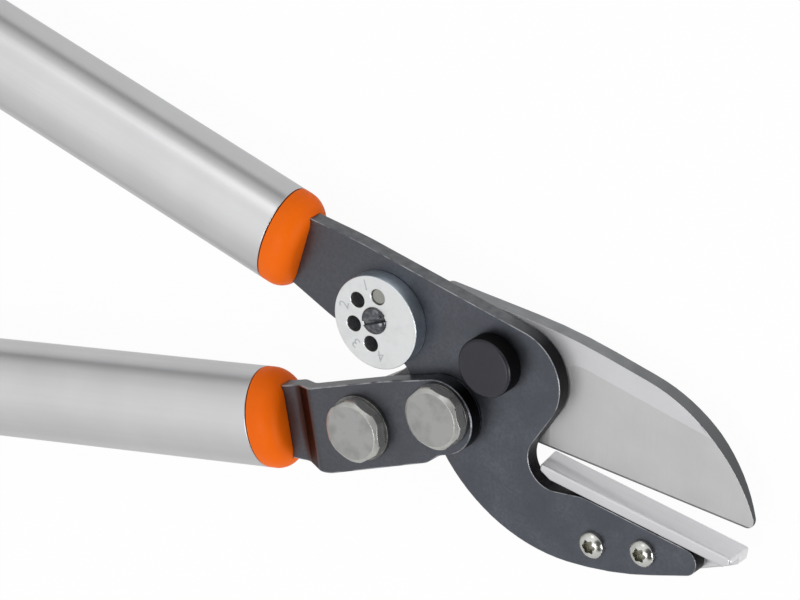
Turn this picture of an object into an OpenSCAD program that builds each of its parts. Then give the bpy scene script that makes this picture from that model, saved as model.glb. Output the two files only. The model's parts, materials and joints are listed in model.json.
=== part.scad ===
// Anvil lopper: a blade that closes flat on an anvil, driven by a lever through a pin in a slot.
// It lies on its back, front face up. X runs along the cutting edge towards the tip, Y points
// from the anvil towards the spine of the blade, and Z comes out of the front face.
// The origin is on the main pivot's axis, in the plane that the lopper rests on.
// The pose is the one with the jaw a few degrees open. All sizes are in millimetres and degrees.

/* [Layers] */
// Thickness of the hook plate
plate_t = 5; // [4:0.1:6]
// Thickness of the blade
blade_t = 5; // [4:0.1:6]
// Thickness of the lever plate
lever_t = 5; // [4:0.1:6]
// Gap between one plate and the next, taken up by a shim
layer_gap = 0.3; // [0.2:0.05:0.5]

/* [Handles] */
// Length of a handle from the face of its collar to the end of its cap
handle_len = 650; // [400:10:800]
// Width of a tube across the tool
tube_w = 32.5; // [31:0.5:36]
// Height of a tube from back to front
tube_h = 24; // [22:0.5:27]
// Wall of a tube
tube_wall = 2; // [1.2:0.1:2.5]
// Angle of the upper handle above the cutting edge
upper_angle = 11.5; // [8:0.5:16]
// Distance of the upper handle's axis below the main pivot
upper_drop = 3.55; // [2:0.05:5]
// Distance from the main pivot to the face of the upper collar
upper_reach = 72.3; // [70:0.1:90]
// Angle of the lower handle below the cutting edge
lower_angle = 15.9; // [13:0.1:22]
// Distance of the lower handle's axis below the fulcrum
lower_drop = 10.8; // [9:0.1:12]
// Distance from the fulcrum to the face of the lower collar
lower_reach = 63.6; // [63:0.1:80]

/* [Collars] */
// Length of the collar's visible ring
collar_len = 9.4; // [8:0.1:16]
// Radius on the collar's front edge
collar_round = 7; // [2:0.5:9]
// Length of the collar's spigot inside the tube
spigot_len = 40; // [30:1:60]
// Distance of a tang's side from the outside of its tube
tang_inset = 4.25; // [3.5:0.25:6]
// Depth that a tang enters its collar
tang_in = 44; // [38:1:50]
// Diameter of the pins that lock a tang in its tube
tang_pin_d = 5; // [3:0.5:6]

/* [Grips] */
// Length of a rubber grip
grip_len = 150; // [100:5:200]
// Thickness of a grip's ribs on the sides of its tube
grip_side = 2.75; // [2:0.25:5]
// Thickness of a grip's ribs in front of its tube and behind
grip_face = 3; // [2:0.25:5]
// How far a grip's ribs and lips stand out of it
grip_rib_rise = 1; // [0.5:0.1:1.4]
// Width of a rib on a grip
grip_rib_w = 5; // [3:0.5:7]
// Number of ribs on a grip
grip_ribs = 11; // [5:1:13]
// Length of the plain lips at the ends of a grip
grip_lip = 9; // [6:0.5:14]
// Thickness of the cap on the end of a grip
cap_t = 9; // [7:0.5:14]
// Radius on the cap's edge
cap_round = 4; // [2:0.5:6]
// Length of the cap's plug inside the tube
cap_plug = 25; // [15:1:40]

/* [Linkage] */
// Fulcrum of the lever along X from the main pivot
fulcrum_x = -13.6; // [-15:0.1:-12.5]
// Fulcrum of the lever along Y from the main pivot
fulcrum_y = -20.6; // [-21.5:0.1:-19.5]
// Distance from the fulcrum to the drive bolt
drive_reach = 32; // [31:0.1:33]
// Direction of the drive bolt from the fulcrum
drive_angle = 209; // [206:0.5:212]
// How far the lever turns from this pose to close the jaw
lever_close = 8.1; // [5:0.1:9]
// How far the lever turns from this pose to open the jaw
lever_open = 70; // [40:1:70]
// How far the blade turns from this pose to meet the anvil
blade_close = 4.6; // [3:0.05:5]

/* [Hook plate] */
// Height of the upper shoulder above the handle's axis
shoulder_top = 14.2; // [13:0.1:16]
// Depth of the lower shoulder below the handle's axis
shoulder_bottom = 15; // [14:0.1:16.5]
// Distance from the main pivot to the shoulders
shoulder_reach = 56; // [50:0.5:62]
// Distance from the main pivot to the heel of the lower edge
heel_reach = 28.3; // [26:0.1:31]
// Radius of the nose around the main pivot
nose_r = 16.5; // [15.5:0.1:18]
// Radius of the throat behind the anvil
throat_r = 8.8; // [8:0.1:9.5]
// Radius of the belly towards the handle
belly_r = 54; // [50:0.5:58]
// Radius of the belly towards the tip
fore_belly_r = 110; // [90:1:130]
// Depth of the belly below the main pivot
belly_drop = 56.1; // [54:0.1:58]
// Radius of the tip of the hook
tip_r = 4.4; // [3:0.1:5]
// Distance along the anvil from the main pivot to the middle of the tip
tip_reach = 74.5; // [70:0.5:78]

/* [Blade] */
// Distance of the cutting edge below the main pivot
edge_drop = 25.4; // [24:0.1:26]
// Gap between the closed blade and the anvil
edge_gap = 0.2; // [0.1:0.05:0.6]
// Thickness left at the cutting edge
edge_t = 0.4; // [0.2:0.05:0.8]
// Width of the ground bevel
bevel_w = 28.5; // [20:0.5:32]
// Height of the spine above the main pivot
spine_rise = 14.9; // [13.5:0.1:16]
// Distance from the main pivot to the point of the blade
blade_reach = 90.4; // [86:0.2:96]
// Radius of the blade's curved front
brow_r = 50.4; // [48:0.2:54]
// Depth of the centre of that curve below the main pivot
brow_drop = 39.4; // [38:0.2:41]
// Radius on the point of the blade
point_r = 3; // [2:0.1:4]
// Wall of the blade's tail around its slot
tail_wall = 3.3; // [2.5:0.1:3.6]

/* [Anvil] */
// Height of the anvil bar above its seat
anvil_h = 4; // [3.6:0.1:6]
// Width of the anvil bar from back to front
anvil_w = 10.5; // [9.5:0.1:11]
// Where the anvil bar starts, along it from the main pivot
anvil_start = 21.5; // [20.5:0.1:24]
// Where the anvil bar ends, along it from the main pivot
anvil_end = 89.6; // [86:0.2:96]
// Diameter of the anvil screws
anvil_screw_d = 5; // [4:0.5:5]
// Diameter of the heads of the anvil screws
anvil_head_d = 8.4; // [7.5:0.1:9.5]
// Height of the heads of the anvil screws
anvil_head_t = 2.8; // [2:0.1:3.5]

/* [Bolts] */
// Diameter of the main pivot bolt and the fulcrum bolt
bolt_d = 12; // [10:0.5:12]
// Diameter of the drive bolt
drive_d = 10; // [8:0.5:10]
// Width of a hexagon head across its flats
head_af = 19; // [17:0.5:20]
// Height of a hexagon head
head_t = 4.4; // [3.5:0.1:6]
// Wall of the bushes in the blade and the lever
bush_wall = 2; // [1:0.1:2.5]
// Diameter of the roller on the drive bolt
roller_d = 13; // [12:0.1:13.2]
// Wall of the spacer on the drive bolt
spacer_wall = 1.6; // [1:0.1:1.8]
// Thickness of the washers
washer_t = 1.2; // [0.8:0.1:1.6]
// Diameter of the washer under the drive bolt's head
front_washer_d = 21; // [20:0.5:23]
// Diameter of the washer and the shim on the fulcrum bolt
fulcrum_washer_d = 20; // [19:0.5:22]
// Diameter of the washer behind the drive bolt's roller
rear_washer_d = 20; // [18:0.5:22]
// Diameter of the washer behind the main pivot
pivot_washer_d = 22; // [20:0.5:24]
// Diameter of the shim between the blade and the hook plate
blade_shim_d = 24; // [20:0.5:26]
// Height of the nuts
nut_t = 5.6; // [4.5:0.1:6.5]
// Width of the main pivot's nut across its flats
pivot_nut_af = 18; // [17:0.5:20]
// Width of the drive bolt's nut across its flats
drive_nut_af = 16; // [15:0.5:17]
// Length of thread that shows past the main pivot's nut
thread_end = 0.3; // [0.2:0.1:2]
// Diameter of the main pivot's black cap
cap_d = 18.8; // [17.5:0.1:19.5]
// Height of the main pivot's black cap
cap_h = 6.2; // [4.8:0.1:7]
// Wall of the main pivot's black cap
cap_wall = 1.6; // [1:0.1:2]
// Height of the main pivot bolt's round head
round_head_t = 3.4; // [2.5:0.1:3.6]

/* [Stop] */
// Stop disc along X from the main pivot
stop_x = -40.4; // [-42:0.1:-39]
// Stop disc along Y from the main pivot
stop_y = 0.9; // [0.2:0.1:1.6]
// Diameter of the stop disc
stop_d = 30; // [28:0.1:31]
// Thickness of the stop disc
stop_t = 5.3; // [4.5:0.1:6]
// How far the disc's rim is off the centre of its screw
stop_offset = 0.7; // [0.3:0.1:1.2]
// Diameter of the disc's setting holes
stop_hole_d = 5; // [4:0.1:5.4]
// Distance of the setting holes from the disc's screw
stop_hole_reach = 8.1; // [7.4:0.1:9]
// Diameter of the head of the disc's screw
stop_head_d = 8; // [7:0.1:8.6]
// Diameter of the shank of the disc's screw
stop_shank_d = 5; // [4:0.1:6]
// Gap between the lever and the stop disc when the jaw is closed
stop_gap = 1; // [0.2:0.05:1.5]

/* [Clearances] */
// Radial clearance of a part that turns on another
run = 0.05; // [0.02:0.01:0.1]
// Clearance of a part that is seated in another for good
seat = 0.02; // [0.01:0.01:0.05]
// Clearance along an axis between parts that turn on each other
play = 0.1; // [0.05:0.01:0.2]
// Clearance of the roller in the slot of the blade
slot_play = 0.15; // [0.1:0.01:0.25]

/* [Hidden] */
$fn = 64;
// Largest angle between the points of an arc, and how far a cut runs past what it cuts
arc_step = 4;
past = 1;
// Largest share of a side that one rounded corner may take
corner_share = 0.48;

// What follows the size of the tubes
tang_w = tube_w - 2 * tang_inset;
grip_w = tube_w + 2 * grip_side;
grip_h = tube_h + 2 * grip_face;

// Heights of the layers, from the plane that the lopper rests on
hardware_h = thread_end + nut_t + washer_t + play;
mid_z = max(grip_h / 2, hardware_h + blade_t + layer_gap + plate_t / 2);
plate_back = mid_z - plate_t / 2;
plate_front = mid_z + plate_t / 2;
blade_front = plate_back - layer_gap;
blade_back = blade_front - blade_t;
lever_back = plate_front + layer_gap;
lever_front = lever_back + lever_t;
rear_washer_back = blade_back - play - washer_t;
nut_back = rear_washer_back - nut_t;
anvil_back = plate_front - anvil_w;
shim_t = layer_gap - play;

// Places of the pivots
main_pivot = [0, 0];
fulcrum = [fulcrum_x, fulcrum_y];
drive = polar(fulcrum, drive_reach, drive_angle);
drive_direction = atan2(drive.y, drive.x);
// The drive bolt slides along the blade's slot while the lever turns
travel_steps = 30;
lever_swing = lever_close + lever_open;
drive_travel = [
    for (i = [0 : travel_steps])
        norm(polar(fulcrum, drive_reach, drive_angle - lever_close + lever_swing * i / travel_steps))
];
slot_near = min(drive_travel);
slot_far = max(drive_travel);
slot_w = roller_d + 2 * slot_play;
tail_r = slot_w / 2 + tail_wall;
tail_end = polar(main_pivot, slot_far, drive_direction);

// Distance below the main pivot of the anvil's top and of its seat
anvil_top = edge_drop + edge_gap;
anvil_seat = anvil_top + anvil_h;

// Anvil screws and the foot of the anvil that they hold, along and below the anvil's line
anvil_screw_spots = [[44, 43], [61, 37.4]];
anvil_foot = [[28, 43.5], [46, 46.5], [62, 42.5], [76.4, 38], [86.3, 31.9]];

// Corner points of the plates
nose_c = [7, -3];
throat_c = [23.6, -25.7];
seat_start = 37.4;
belly_x = 26.6;
belly_slope = 6;
heel_angle = -141;
spine_bend_x = 21;
blade_back_x = -26;
blade_neck = [-30, -14.5];
blade_heel_x = 2;
lever_end_shift = [-0.9, -1.7];
lever_end_r = 12.1;
lever_knee = [46.5, 1.4];
lever_step_low = [8.7, -6.1];
lever_step_high = [3.2, -3.2];
lever_waist = [29.6, 17.8];
joggle_start = 49.8;
joggle_end = 57.8;

// Radii on the corners of the plates
shoulder_round = 90;
seat_round = 12;
heel_round = 5;
tang_round = 40;
blade_back_round = 4;
spine_round = 190;
blade_heel_round = 8;
neck_round = 30;
knee_round = 13;
step_round = 5;
joggle_round = 5;

// Turns of the hexagons about their bolts
fulcrum_head_spin = -8;
drive_head_spin = 42;
drive_nut_spin = 27;
// Height of the slope on a hexagon's corners, and how far its round face reaches past the flats
hex_slope = 1.5;
hex_land = 0.5;

// Setting holes of the stop disc, with the pin in the first
stop_hole_angles = [86.5, 145.5, 207, 266.5];
stop_screw_at = [stop_x, stop_y];
stop_lean = -56;
stop_rim_at = polar(stop_screw_at, stop_offset, stop_lean);
// The disc as the lever sees it when the jaw is closed
stop_seen = fulcrum + turned(stop_rim_at - fulcrum, lever_close);
stop_seen_r = stop_d / 2 + stop_gap;

// Points on a circle, and an arc from one angle to another
function polar(c, r, a) = [c.x + r * cos(a), c.y + r * sin(a)];
function arc(c, r, from, to) =
    let (steps = max(1, ceil(abs(to - from) / arc_step)))
    [for (i = [0 : steps]) polar(c, r, from + (to - from) * i / steps)];
// The same angle as to, reached from another angle by turning one way only
function clockwise(from, to) = from - (((from - to) % 360) + 360) % 360;
function widdershins(from, to) = from + (((to - from) % 360) + 360) % 360;
function turned(v, a) = [v.x * cos(a) - v.y * sin(a), v.x * sin(a) + v.y * cos(a)];
function heading(v) = atan2(v.y, v.x);
function unit(v) = v / norm(v);

// The arc that rounds the corner between two neighbours, limited by its shorter side
function rounded(before, corner, after, radius) =
    let (
        u = unit(before - corner),
        v = unit(after - corner),
        half = acos(u * v) / 2,
        room = corner_share * min(norm(before - corner), norm(after - corner)),
        reach = min(radius / tan(half), room),
        r = reach * tan(half),
        c = corner + unit(u + v) * r / sin(half),
        from = heading(corner + u * reach - c),
        swing = heading(corner + v * reach - c) - from,
        to = from + (swing > 180 ? swing - 360 : swing < -180 ? swing + 360 : swing)
    )
    arc(c, r, from, to);

// Angle on a circle at which the tangent from a point touches it
function touch(p, c, r, side) = heading(p - c) + side * acos(min(1, r / norm(p - c)));
// Angle on the first circle of the tangent that crosses between two circles
function cross_touch(c1, r1, c2, r2, side) =
    heading(c2 - c1) + side * acos(min(1, (r1 + r2) / norm(c2 - c1)));
// Angle on two circles of the tangent that runs along the same side of both
function along_touch(big, big_r, small, small_r, side) =
    heading(small - big) + side * acos(min(1, (big_r - small_r) / norm(small - big)));

// A point in the frame of each handle, from its foot and across its axis
function on_upper(out, across) =
    out * [-cos(upper_angle), sin(upper_angle)]
    + (across - upper_drop) * [sin(upper_angle), cos(upper_angle)];
function on_lower(out, across) =
    fulcrum + out * [-cos(lower_angle), -sin(lower_angle)]
    + (across - lower_drop) * [-sin(lower_angle), cos(lower_angle)];
// A point along the anvil and below the main pivot, square to it
function on_anvil(along, below) =
    along * [cos(blade_close), -sin(blade_close)] + below * [-sin(blade_close), -cos(blade_close)];

// Places the handle's pieces, with X outwards from the collar's face
module at_upper()
    translate([each on_upper(upper_reach, 0), mid_z]) rotate(180 - upper_angle) children();
module at_lower()
    translate([each on_lower(lower_reach, 0), mid_z]) rotate(180 + lower_angle) children();
module at(place, z) translate([place.x, place.y, z]) children();

// A cylinder from one height to another
module post(place, d, bottom, top) at(place, bottom) cylinder(d = d, h = top - bottom);
module ring(place, outer, inner, bottom, top)
    difference() {
        post(place, outer, bottom, top);
        post(place, inner, bottom - past, top + past);
    }
module slab(outline, bottom, top)
    translate([0, 0, bottom]) linear_extrude(top - bottom) polygon(outline);

// An oval bar along X
module oval(w, h, from, to)
    translate([from, 0, 0]) rotate([90, 0, 90])
        linear_extrude(to - from) scale([1, h / w]) circle(d = w);
// An oval knob along X, with the edge of its end rounded
module oval_knob(w, h, from, to, radius) {
    r = w / 2;
    translate([from, 0, 0]) rotate([90, 0, 90]) scale([1, h / w, 1]) rotate_extrude() {
        square([r, to - from - radius]);
        square([r - radius, to - from]);
        intersection() {
            translate([r - radius, to - from - radius]) circle(radius);
            square([r, to - from]);
        }
    }
}

// A hexagon whose corners are turned away to a round face, at its front or at its back
module hexagon(place, af, spin, bottom, top, face_up) {
    corner_r = af / sqrt(3);
    face_r = af / 2 + hex_land;
    blank_r = corner_r + past;
    h = top - bottom;
    slope = hex_slope / (corner_r - face_r);
    at(place, face_up ? bottom : top) mirror([0, 0, face_up ? 0 : 1]) rotate(spin) intersection() {
        cylinder(r = corner_r, h = h + past, $fn = 6);
        rotate_extrude()
            polygon([[0, 0], [blank_r, 0], [blank_r, h - slope * (blank_r - face_r)], [face_r, h], [0, h]]);
    }
}

// Outlines of the three plates
tip_c = on_anvil(tip_reach, anvil_seat + tip_r);
belly_c = [belly_x, belly_r - belly_drop];
hook_shoulder_top = on_upper(shoulder_reach, shoulder_top);
hook_shoulder_bottom = on_upper(shoulder_reach, -shoulder_bottom);
hook_heel = on_upper(heel_reach, -shoulder_bottom);
nose_top = touch(hook_shoulder_top, nose_c, nose_r, -1);
nose_bottom = cross_touch(nose_c, nose_r, throat_c, throat_r, 1);
seat_corner = on_anvil(seat_start, anvil_seat);
throat_low = touch(seat_corner, throat_c, throat_r, -1);
fore_belly_c = polar(belly_c, fore_belly_r - belly_r, 90 + belly_slope);
belly_front = along_touch(fore_belly_c, fore_belly_r, tip_c, tip_r, -1);
belly_middle = belly_slope - 90;
hook_outline = concat(
    [on_upper(upper_reach + tang_in, tang_w / 2)],
    [on_upper(upper_reach, tang_w / 2)],
    rounded(on_upper(upper_reach, tang_w / 2), hook_shoulder_top,
            polar(nose_c, nose_r, nose_top), shoulder_round),
    arc(nose_c, nose_r, nose_top, clockwise(nose_top, nose_bottom)),
    arc(throat_c, throat_r, nose_bottom + 180, widdershins(nose_bottom + 180, throat_low)),
    rounded(polar(throat_c, throat_r, throat_low), seat_corner,
            on_anvil(tip_reach, anvil_seat), seat_round),
    arc(tip_c, tip_r, 90 - blade_close, clockwise(90 - blade_close, belly_front)),
    arc(fore_belly_c, fore_belly_r, belly_front, belly_middle),
    arc(belly_c, belly_r, belly_middle, clockwise(belly_middle, heel_angle)),
    rounded(polar(belly_c, belly_r, heel_angle), hook_heel, hook_shoulder_bottom, heel_round),
    rounded(hook_heel, hook_shoulder_bottom, on_upper(upper_reach, -tang_w / 2), tang_round),
    [on_upper(upper_reach, -tang_w / 2)],
    [on_upper(upper_reach + tang_in, -tang_w / 2)]
);

spine_back = [blade_back_x, spine_rise];
spine_bend = [spine_bend_x, spine_rise];
brow_below = brow_drop - edge_drop;
brow_c = [blade_reach - sqrt(pow(brow_r, 2) - pow(brow_below, 2)), -brow_drop];
brow_top = touch(spine_bend, brow_c, brow_r, -1);
point_c = [
    brow_c.x + sqrt(pow(brow_r - point_r, 2) - pow(brow_below + point_r, 2)),
    point_r - edge_drop
];
brow_bottom = heading(point_c - brow_c);
blade_heel = [blade_heel_x, -edge_drop];
tail_top = touch(blade_neck, tail_end, tail_r, 1);
tail_bottom = touch(blade_heel, tail_end, tail_r, -1);
blade_outline = concat(
    rounded(blade_neck, spine_back, spine_bend, blade_back_round),
    rounded(spine_back, spine_bend, polar(brow_c, brow_r, brow_top), spine_round),
    arc(brow_c, brow_r, brow_top, brow_bottom),
    arc(point_c, point_r, brow_bottom, -90),
    rounded(point_c - [0, point_r], blade_heel, polar(tail_end, tail_r, tail_bottom), blade_heel_round),
    arc(tail_end, tail_r, tail_bottom, clockwise(tail_bottom, tail_top)),
    rounded(polar(tail_end, tail_r, tail_top), blade_neck, spine_back, neck_round)
);

lever_end_c = fulcrum + lever_end_shift;
lever_top = cross_touch(lever_end_c, lever_end_r, stop_seen, stop_seen_r, -1);
lever_stop = polar(stop_seen, stop_seen_r, lever_top + 180);
lever_corner = on_lower(lever_knee.x, -tang_w / 2 - lever_knee.y);
lever_step_foot = on_lower(lever_step_low.x, lever_step_low.y);
lever_step_top = on_lower(lever_step_high.x, lever_step_high.y);
lever_bottom = touch(lever_step_top, lever_end_c, lever_end_r, 1);
lever_shoulder = on_lower(lower_reach, tang_w / 2);
lever_dip = on_lower(lever_waist.x, lever_waist.y);
lever_outline = concat(
    arc(lever_end_c, lever_end_r, lever_top, clockwise(lever_top, lever_bottom)),
    rounded(polar(lever_end_c, lever_end_r, lever_bottom), lever_step_top, lever_step_foot, step_round),
    rounded(lever_step_top, lever_step_foot, lever_corner, step_round),
    rounded(lever_step_foot, lever_corner, on_lower(lower_reach, -tang_w / 2), knee_round),
    [on_lower(lower_reach, -tang_w / 2)],
    [on_lower(lower_reach + tang_in, -tang_w / 2)],
    [on_lower(lower_reach + tang_in, tang_w / 2)],
    rounded(on_lower(lower_reach + tang_in, tang_w / 2), lever_shoulder, lever_dip, tang_round),
    rounded(lever_shoulder, lever_dip, lever_stop, tang_round),
    rounded(lever_dip, lever_stop, polar(lever_end_c, lever_end_r, lever_top), tang_round)
);

// Side view of the lever plate: flat in front, stepped back to the handles' plane at the collar
lever_near = -3 * lever_end_r;
lever_far = lower_reach + tang_in + past;
joggle_top = [
    [lever_near, lever_front], [joggle_start, lever_front],
    [joggle_end, plate_front], [lever_far, plate_front]
];
joggle_bottom = [
    [lever_far, plate_back], [joggle_end, plate_back],
    [joggle_start, lever_back], [lever_near, lever_back]
];
lever_side = concat(
    [joggle_top[0]],
    rounded(joggle_top[0], joggle_top[1], joggle_top[2], joggle_round),
    rounded(joggle_top[1], joggle_top[2], joggle_top[3], joggle_round),
    [joggle_top[3], joggle_bottom[0]],
    rounded(joggle_bottom[0], joggle_bottom[1], joggle_bottom[2], joggle_round),
    rounded(joggle_bottom[1], joggle_bottom[2], joggle_bottom[3], joggle_round),
    [joggle_bottom[3]]
);

// Pieces of a handle
tube_end = handle_len - cap_t;
grip_start = tube_end - grip_len;
tang_pin_inset = 10;
tang_pin_pitch = 16;
tang_pin_past = 3;
tang_pin_spots = [for (i = [0, 1]) collar_len + tang_pin_inset + i * tang_pin_pitch];
tang_pin_top = plate_t / 2 + tang_pin_past;

module tang_pin_holes(clearance)
    for (spot = tang_pin_spots)
        post([spot, 0], tang_pin_d + 2 * clearance, -tube_h, tang_pin_top + clearance);

module handle_tube()
    color([0.78, 0.79, 0.80]) difference() {
        oval(tube_w, tube_h, collar_len, tube_end);
        oval(tube_w - 2 * tube_wall, tube_h - 2 * tube_wall, collar_len - past, tube_end + past);
        tang_pin_holes(seat);
    }

module handle_collar() {
    inner = 2 * (tube_wall + seat);
    color([0.92, 0.43, 0.08]) difference() {
        union() {
            mirror([1, 0, 0]) oval_knob(tube_w, tube_h, -collar_len, 0, collar_round);
            oval(tube_w - inner, tube_h - inner, collar_len - past, collar_len + spigot_len);
        }
        translate([-past, -tang_w / 2 - seat, -plate_t / 2 - seat])
            cube([tang_in + past + seat, tang_w + 2 * seat, plate_t + 2 * seat]);
        tang_pin_holes(seat);
    }
}

module handle_tang_pins()
    color([0.6, 0.61, 0.63])
        for (spot = tang_pin_spots)
            post([spot, 0], tang_pin_d, -tube_h / 2, tang_pin_top);

module handle_grip() {
    sunk = 2 * grip_rib_rise;
    rib_step = (grip_len - 2 * grip_lip - grip_rib_w) / (grip_ribs + 1);
    ribs_start = grip_start + grip_lip + rib_step;
    color([0.10, 0.10, 0.11]) difference() {
        union() {
            oval(grip_w - sunk, grip_h - sunk, grip_start + past, tube_end - past);
            oval(grip_w, grip_h, grip_start, grip_start + grip_lip);
            oval(grip_w, grip_h, tube_end - grip_lip, tube_end);
            for (i = [0 : grip_ribs - 1])
                oval(grip_w, grip_h, ribs_start + i * rib_step, ribs_start + i * rib_step + grip_rib_w);
        }
        oval(tube_w + 2 * seat, tube_h + 2 * seat, grip_start - past, tube_end + past);
    }
}

module handle_cap() {
    inner = 2 * (tube_wall + seat);
    color([0.92, 0.43, 0.08]) {
        oval_knob(grip_w, grip_h, tube_end, handle_len, cap_round);
        oval(tube_w - inner, tube_h - inner, tube_end - cap_plug, tube_end + past);
    }
}

// Hook side
module hook_plate()
    color([0.29, 0.31, 0.34]) difference() {
        slab(hook_outline, plate_back, plate_front);
        post(main_pivot, bolt_d + 2 * seat, plate_back - past, plate_front + past);
        post(fulcrum, bolt_d + 2 * seat, plate_back - past, plate_front + past);
        post(stop_screw_at, stop_shank_d + 2 * seat, plate_back - past, plate_front + past);
        post(stop_pin_at, stop_pin_d + 2 * seat, plate_back - past, plate_front + past);
        for (spot = anvil_screw_spots)
            post(on_anvil(spot.x, spot.y), anvil_screw_d + 2 * seat, plate_back - past, plate_front + past);
        at_upper() tang_pin_holes(seat);
    }
module upper_tube() at_upper() handle_tube();
module upper_collar() at_upper() handle_collar();
module upper_grip() at_upper() handle_grip();
module upper_cap() at_upper() handle_cap();
module upper_tang_pins() at_upper() handle_tang_pins();

// Anvil: an extruded bar in front of a foot that lies behind the hook plate
// How far the bar's lower corner is cut off, and how far its start slants back from front to foot
anvil_nick = 4;
anvil_skew = 1.5;
anvil_slant = anvil_skew / anvil_w;
anvil_blank = anvil_start - 2 * anvil_skew;
// What is sawn off the start of the bar, seen from below and pushed through it
module anvil_offcut()
    rotate([90, 0, 0]) linear_extrude(2 * anvil_foot[1].y) polygon([
        [anvil_blank - past, plate_front + past],
        [anvil_start + anvil_slant * past, plate_front + past],
        [anvil_start - anvil_skew - anvil_slant * past, anvil_back - past],
        [anvil_blank - past, anvil_back - past]
    ]);
module anvil() {
    bar = [
        [anvil_blank, -anvil_top], [anvil_end, -anvil_top], [anvil_end, -anvil_seat],
        [anvil_start + anvil_nick, -anvil_seat], [anvil_blank, -anvil_top - anvil_h / 4]
    ];
    foot = concat(
        [[anvil_end, -anvil_top], [anvil_blank, -anvil_top]],
        [for (corner = anvil_foot) [corner.x, -corner.y]],
        [[anvil_end, -anvil_seat]]
    );
    color([0.83, 0.83, 0.84]) rotate(-blade_close) difference() {
        union() {
            slab(bar, plate_back, plate_front);
            slab(foot, anvil_back, plate_back);
        }
        anvil_offcut();
        for (spot = anvil_screw_spots)
            post([spot.x, -spot.y], anvil_screw_d + 2 * seat, anvil_back - past, plate_front + past);
    }
}

module anvil_screws() {
    head_rim = 0.9;
    head_round = anvil_head_t - head_rim;
    star_d = 3.6;
    star_w = 0.9;
    star_depth = 1.8;
    color([0.80, 0.80, 0.76])
        for (spot = anvil_screw_spots)
            at(on_anvil(spot.x, spot.y), plate_front) difference() {
                union() {
                    rotate_extrude() polygon(concat(
                        [[0, 0], [anvil_head_d / 2, 0]],
                        arc([anvil_head_d / 2 - head_round, anvil_head_t - head_round], head_round, 0, 90),
                        [[0, anvil_head_t]]
                    ));
                    translate([0, 0, anvil_back - plate_front])
                        cylinder(d = anvil_screw_d, h = plate_front - anvil_back + past);
                }
                for (turn = [0, 60, 120])
                    rotate(turn) translate([-star_d / 2, -star_w / 2, anvil_head_t - star_depth])
                        cube([star_d, star_w, star_depth + past]);
            }
}

// Stop disc, its screw and the pin that holds its setting
stop_pin_d = stop_hole_d - 2 * run;
stop_pin_at = polar(stop_screw_at, stop_hole_reach, stop_hole_angles[0]);
stop_pin_recess = 0.6;
stop_head_t = 3.2;
stop_front = plate_front + stop_t;
stop_head_proud = 0.4;
stop_seat = stop_front - stop_head_t + stop_head_proud;

module stop_disc()
    color([0.86, 0.87, 0.88]) difference() {
        post(stop_rim_at, stop_d, plate_front, stop_front);
        post(stop_screw_at, stop_shank_d + 2 * run, plate_front - past, stop_front + past);
        post(stop_screw_at, stop_head_d + 2 * run, stop_seat, stop_front + past);
        for (angle = stop_hole_angles)
            post(polar(stop_screw_at, stop_hole_reach, angle), stop_hole_d,
                 plate_front - past, stop_front + past);
    }
module stop_screw() {
    slot_w = 1.3;
    slot_depth = 1.4;
    slot_angle = 28;
    color([0.33, 0.34, 0.36]) difference() {
        union() {
            post(stop_screw_at, stop_head_d, stop_seat, stop_seat + stop_head_t);
            post(stop_screw_at, stop_shank_d, plate_back, stop_seat + past);
        }
        at(stop_screw_at, stop_seat + stop_head_t - slot_depth) rotate(slot_angle)
            translate([-stop_head_d, -slot_w / 2, 0]) cube([2 * stop_head_d, slot_w, slot_depth + past]);
    }
}
module stop_pin()
    color([0.70, 0.71, 0.70]) post(stop_pin_at, stop_pin_d, plate_back, stop_front - stop_pin_recess);

// Main pivot
round_head_d = cap_d - 2 * cap_wall;
module pivot_bolt()
    color([0.40, 0.41, 0.43]) {
        post(main_pivot, bolt_d, 0, plate_front + past);
        post(main_pivot, round_head_d, plate_front, plate_front + round_head_t);
    }
module pivot_cap() {
    edge = 0.8;
    rim = 2.2;
    dish_slope = 0.6;
    dish = 0.3;
    r = cap_d / 2;
    color([0.07, 0.07, 0.08]) difference() {
        at(main_pivot, plate_front) rotate_extrude()
            polygon([[0, 0], [r, 0], [r, cap_h - edge], [r - edge, cap_h], [r - rim, cap_h],
                     [r - rim - dish_slope, cap_h - dish], [0, cap_h - dish]]);
        post(main_pivot, round_head_d + 2 * seat, plate_front - past, plate_front + round_head_t + seat);
    }
}
module pivot_washer()
    color([0.62, 0.63, 0.64])
        ring(main_pivot, pivot_washer_d, bolt_d + 2 * seat,
             rear_washer_back, rear_washer_back + washer_t);
module pivot_nut()
    color([0.55, 0.56, 0.58]) difference() {
        hexagon(main_pivot, pivot_nut_af, 0, nut_back, rear_washer_back, false);
        post(main_pivot, bolt_d + 2 * seat, nut_back - past, rear_washer_back + past);
    }

// Fulcrum bolt: screwed into the hook plate, with the lever turning on its shank
head_seat = lever_front + play + washer_t;
module fulcrum_bolt()
    color([0.55, 0.56, 0.57]) {
        post(fulcrum, bolt_d, plate_back, head_seat + past);
        hexagon(fulcrum, head_af, fulcrum_head_spin, head_seat, head_seat + head_t, true);
    }
module fulcrum_washer()
    color([0.45, 0.45, 0.45])
        ring(fulcrum, fulcrum_washer_d, bolt_d + 2 * seat, lever_front + play, head_seat);

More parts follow.
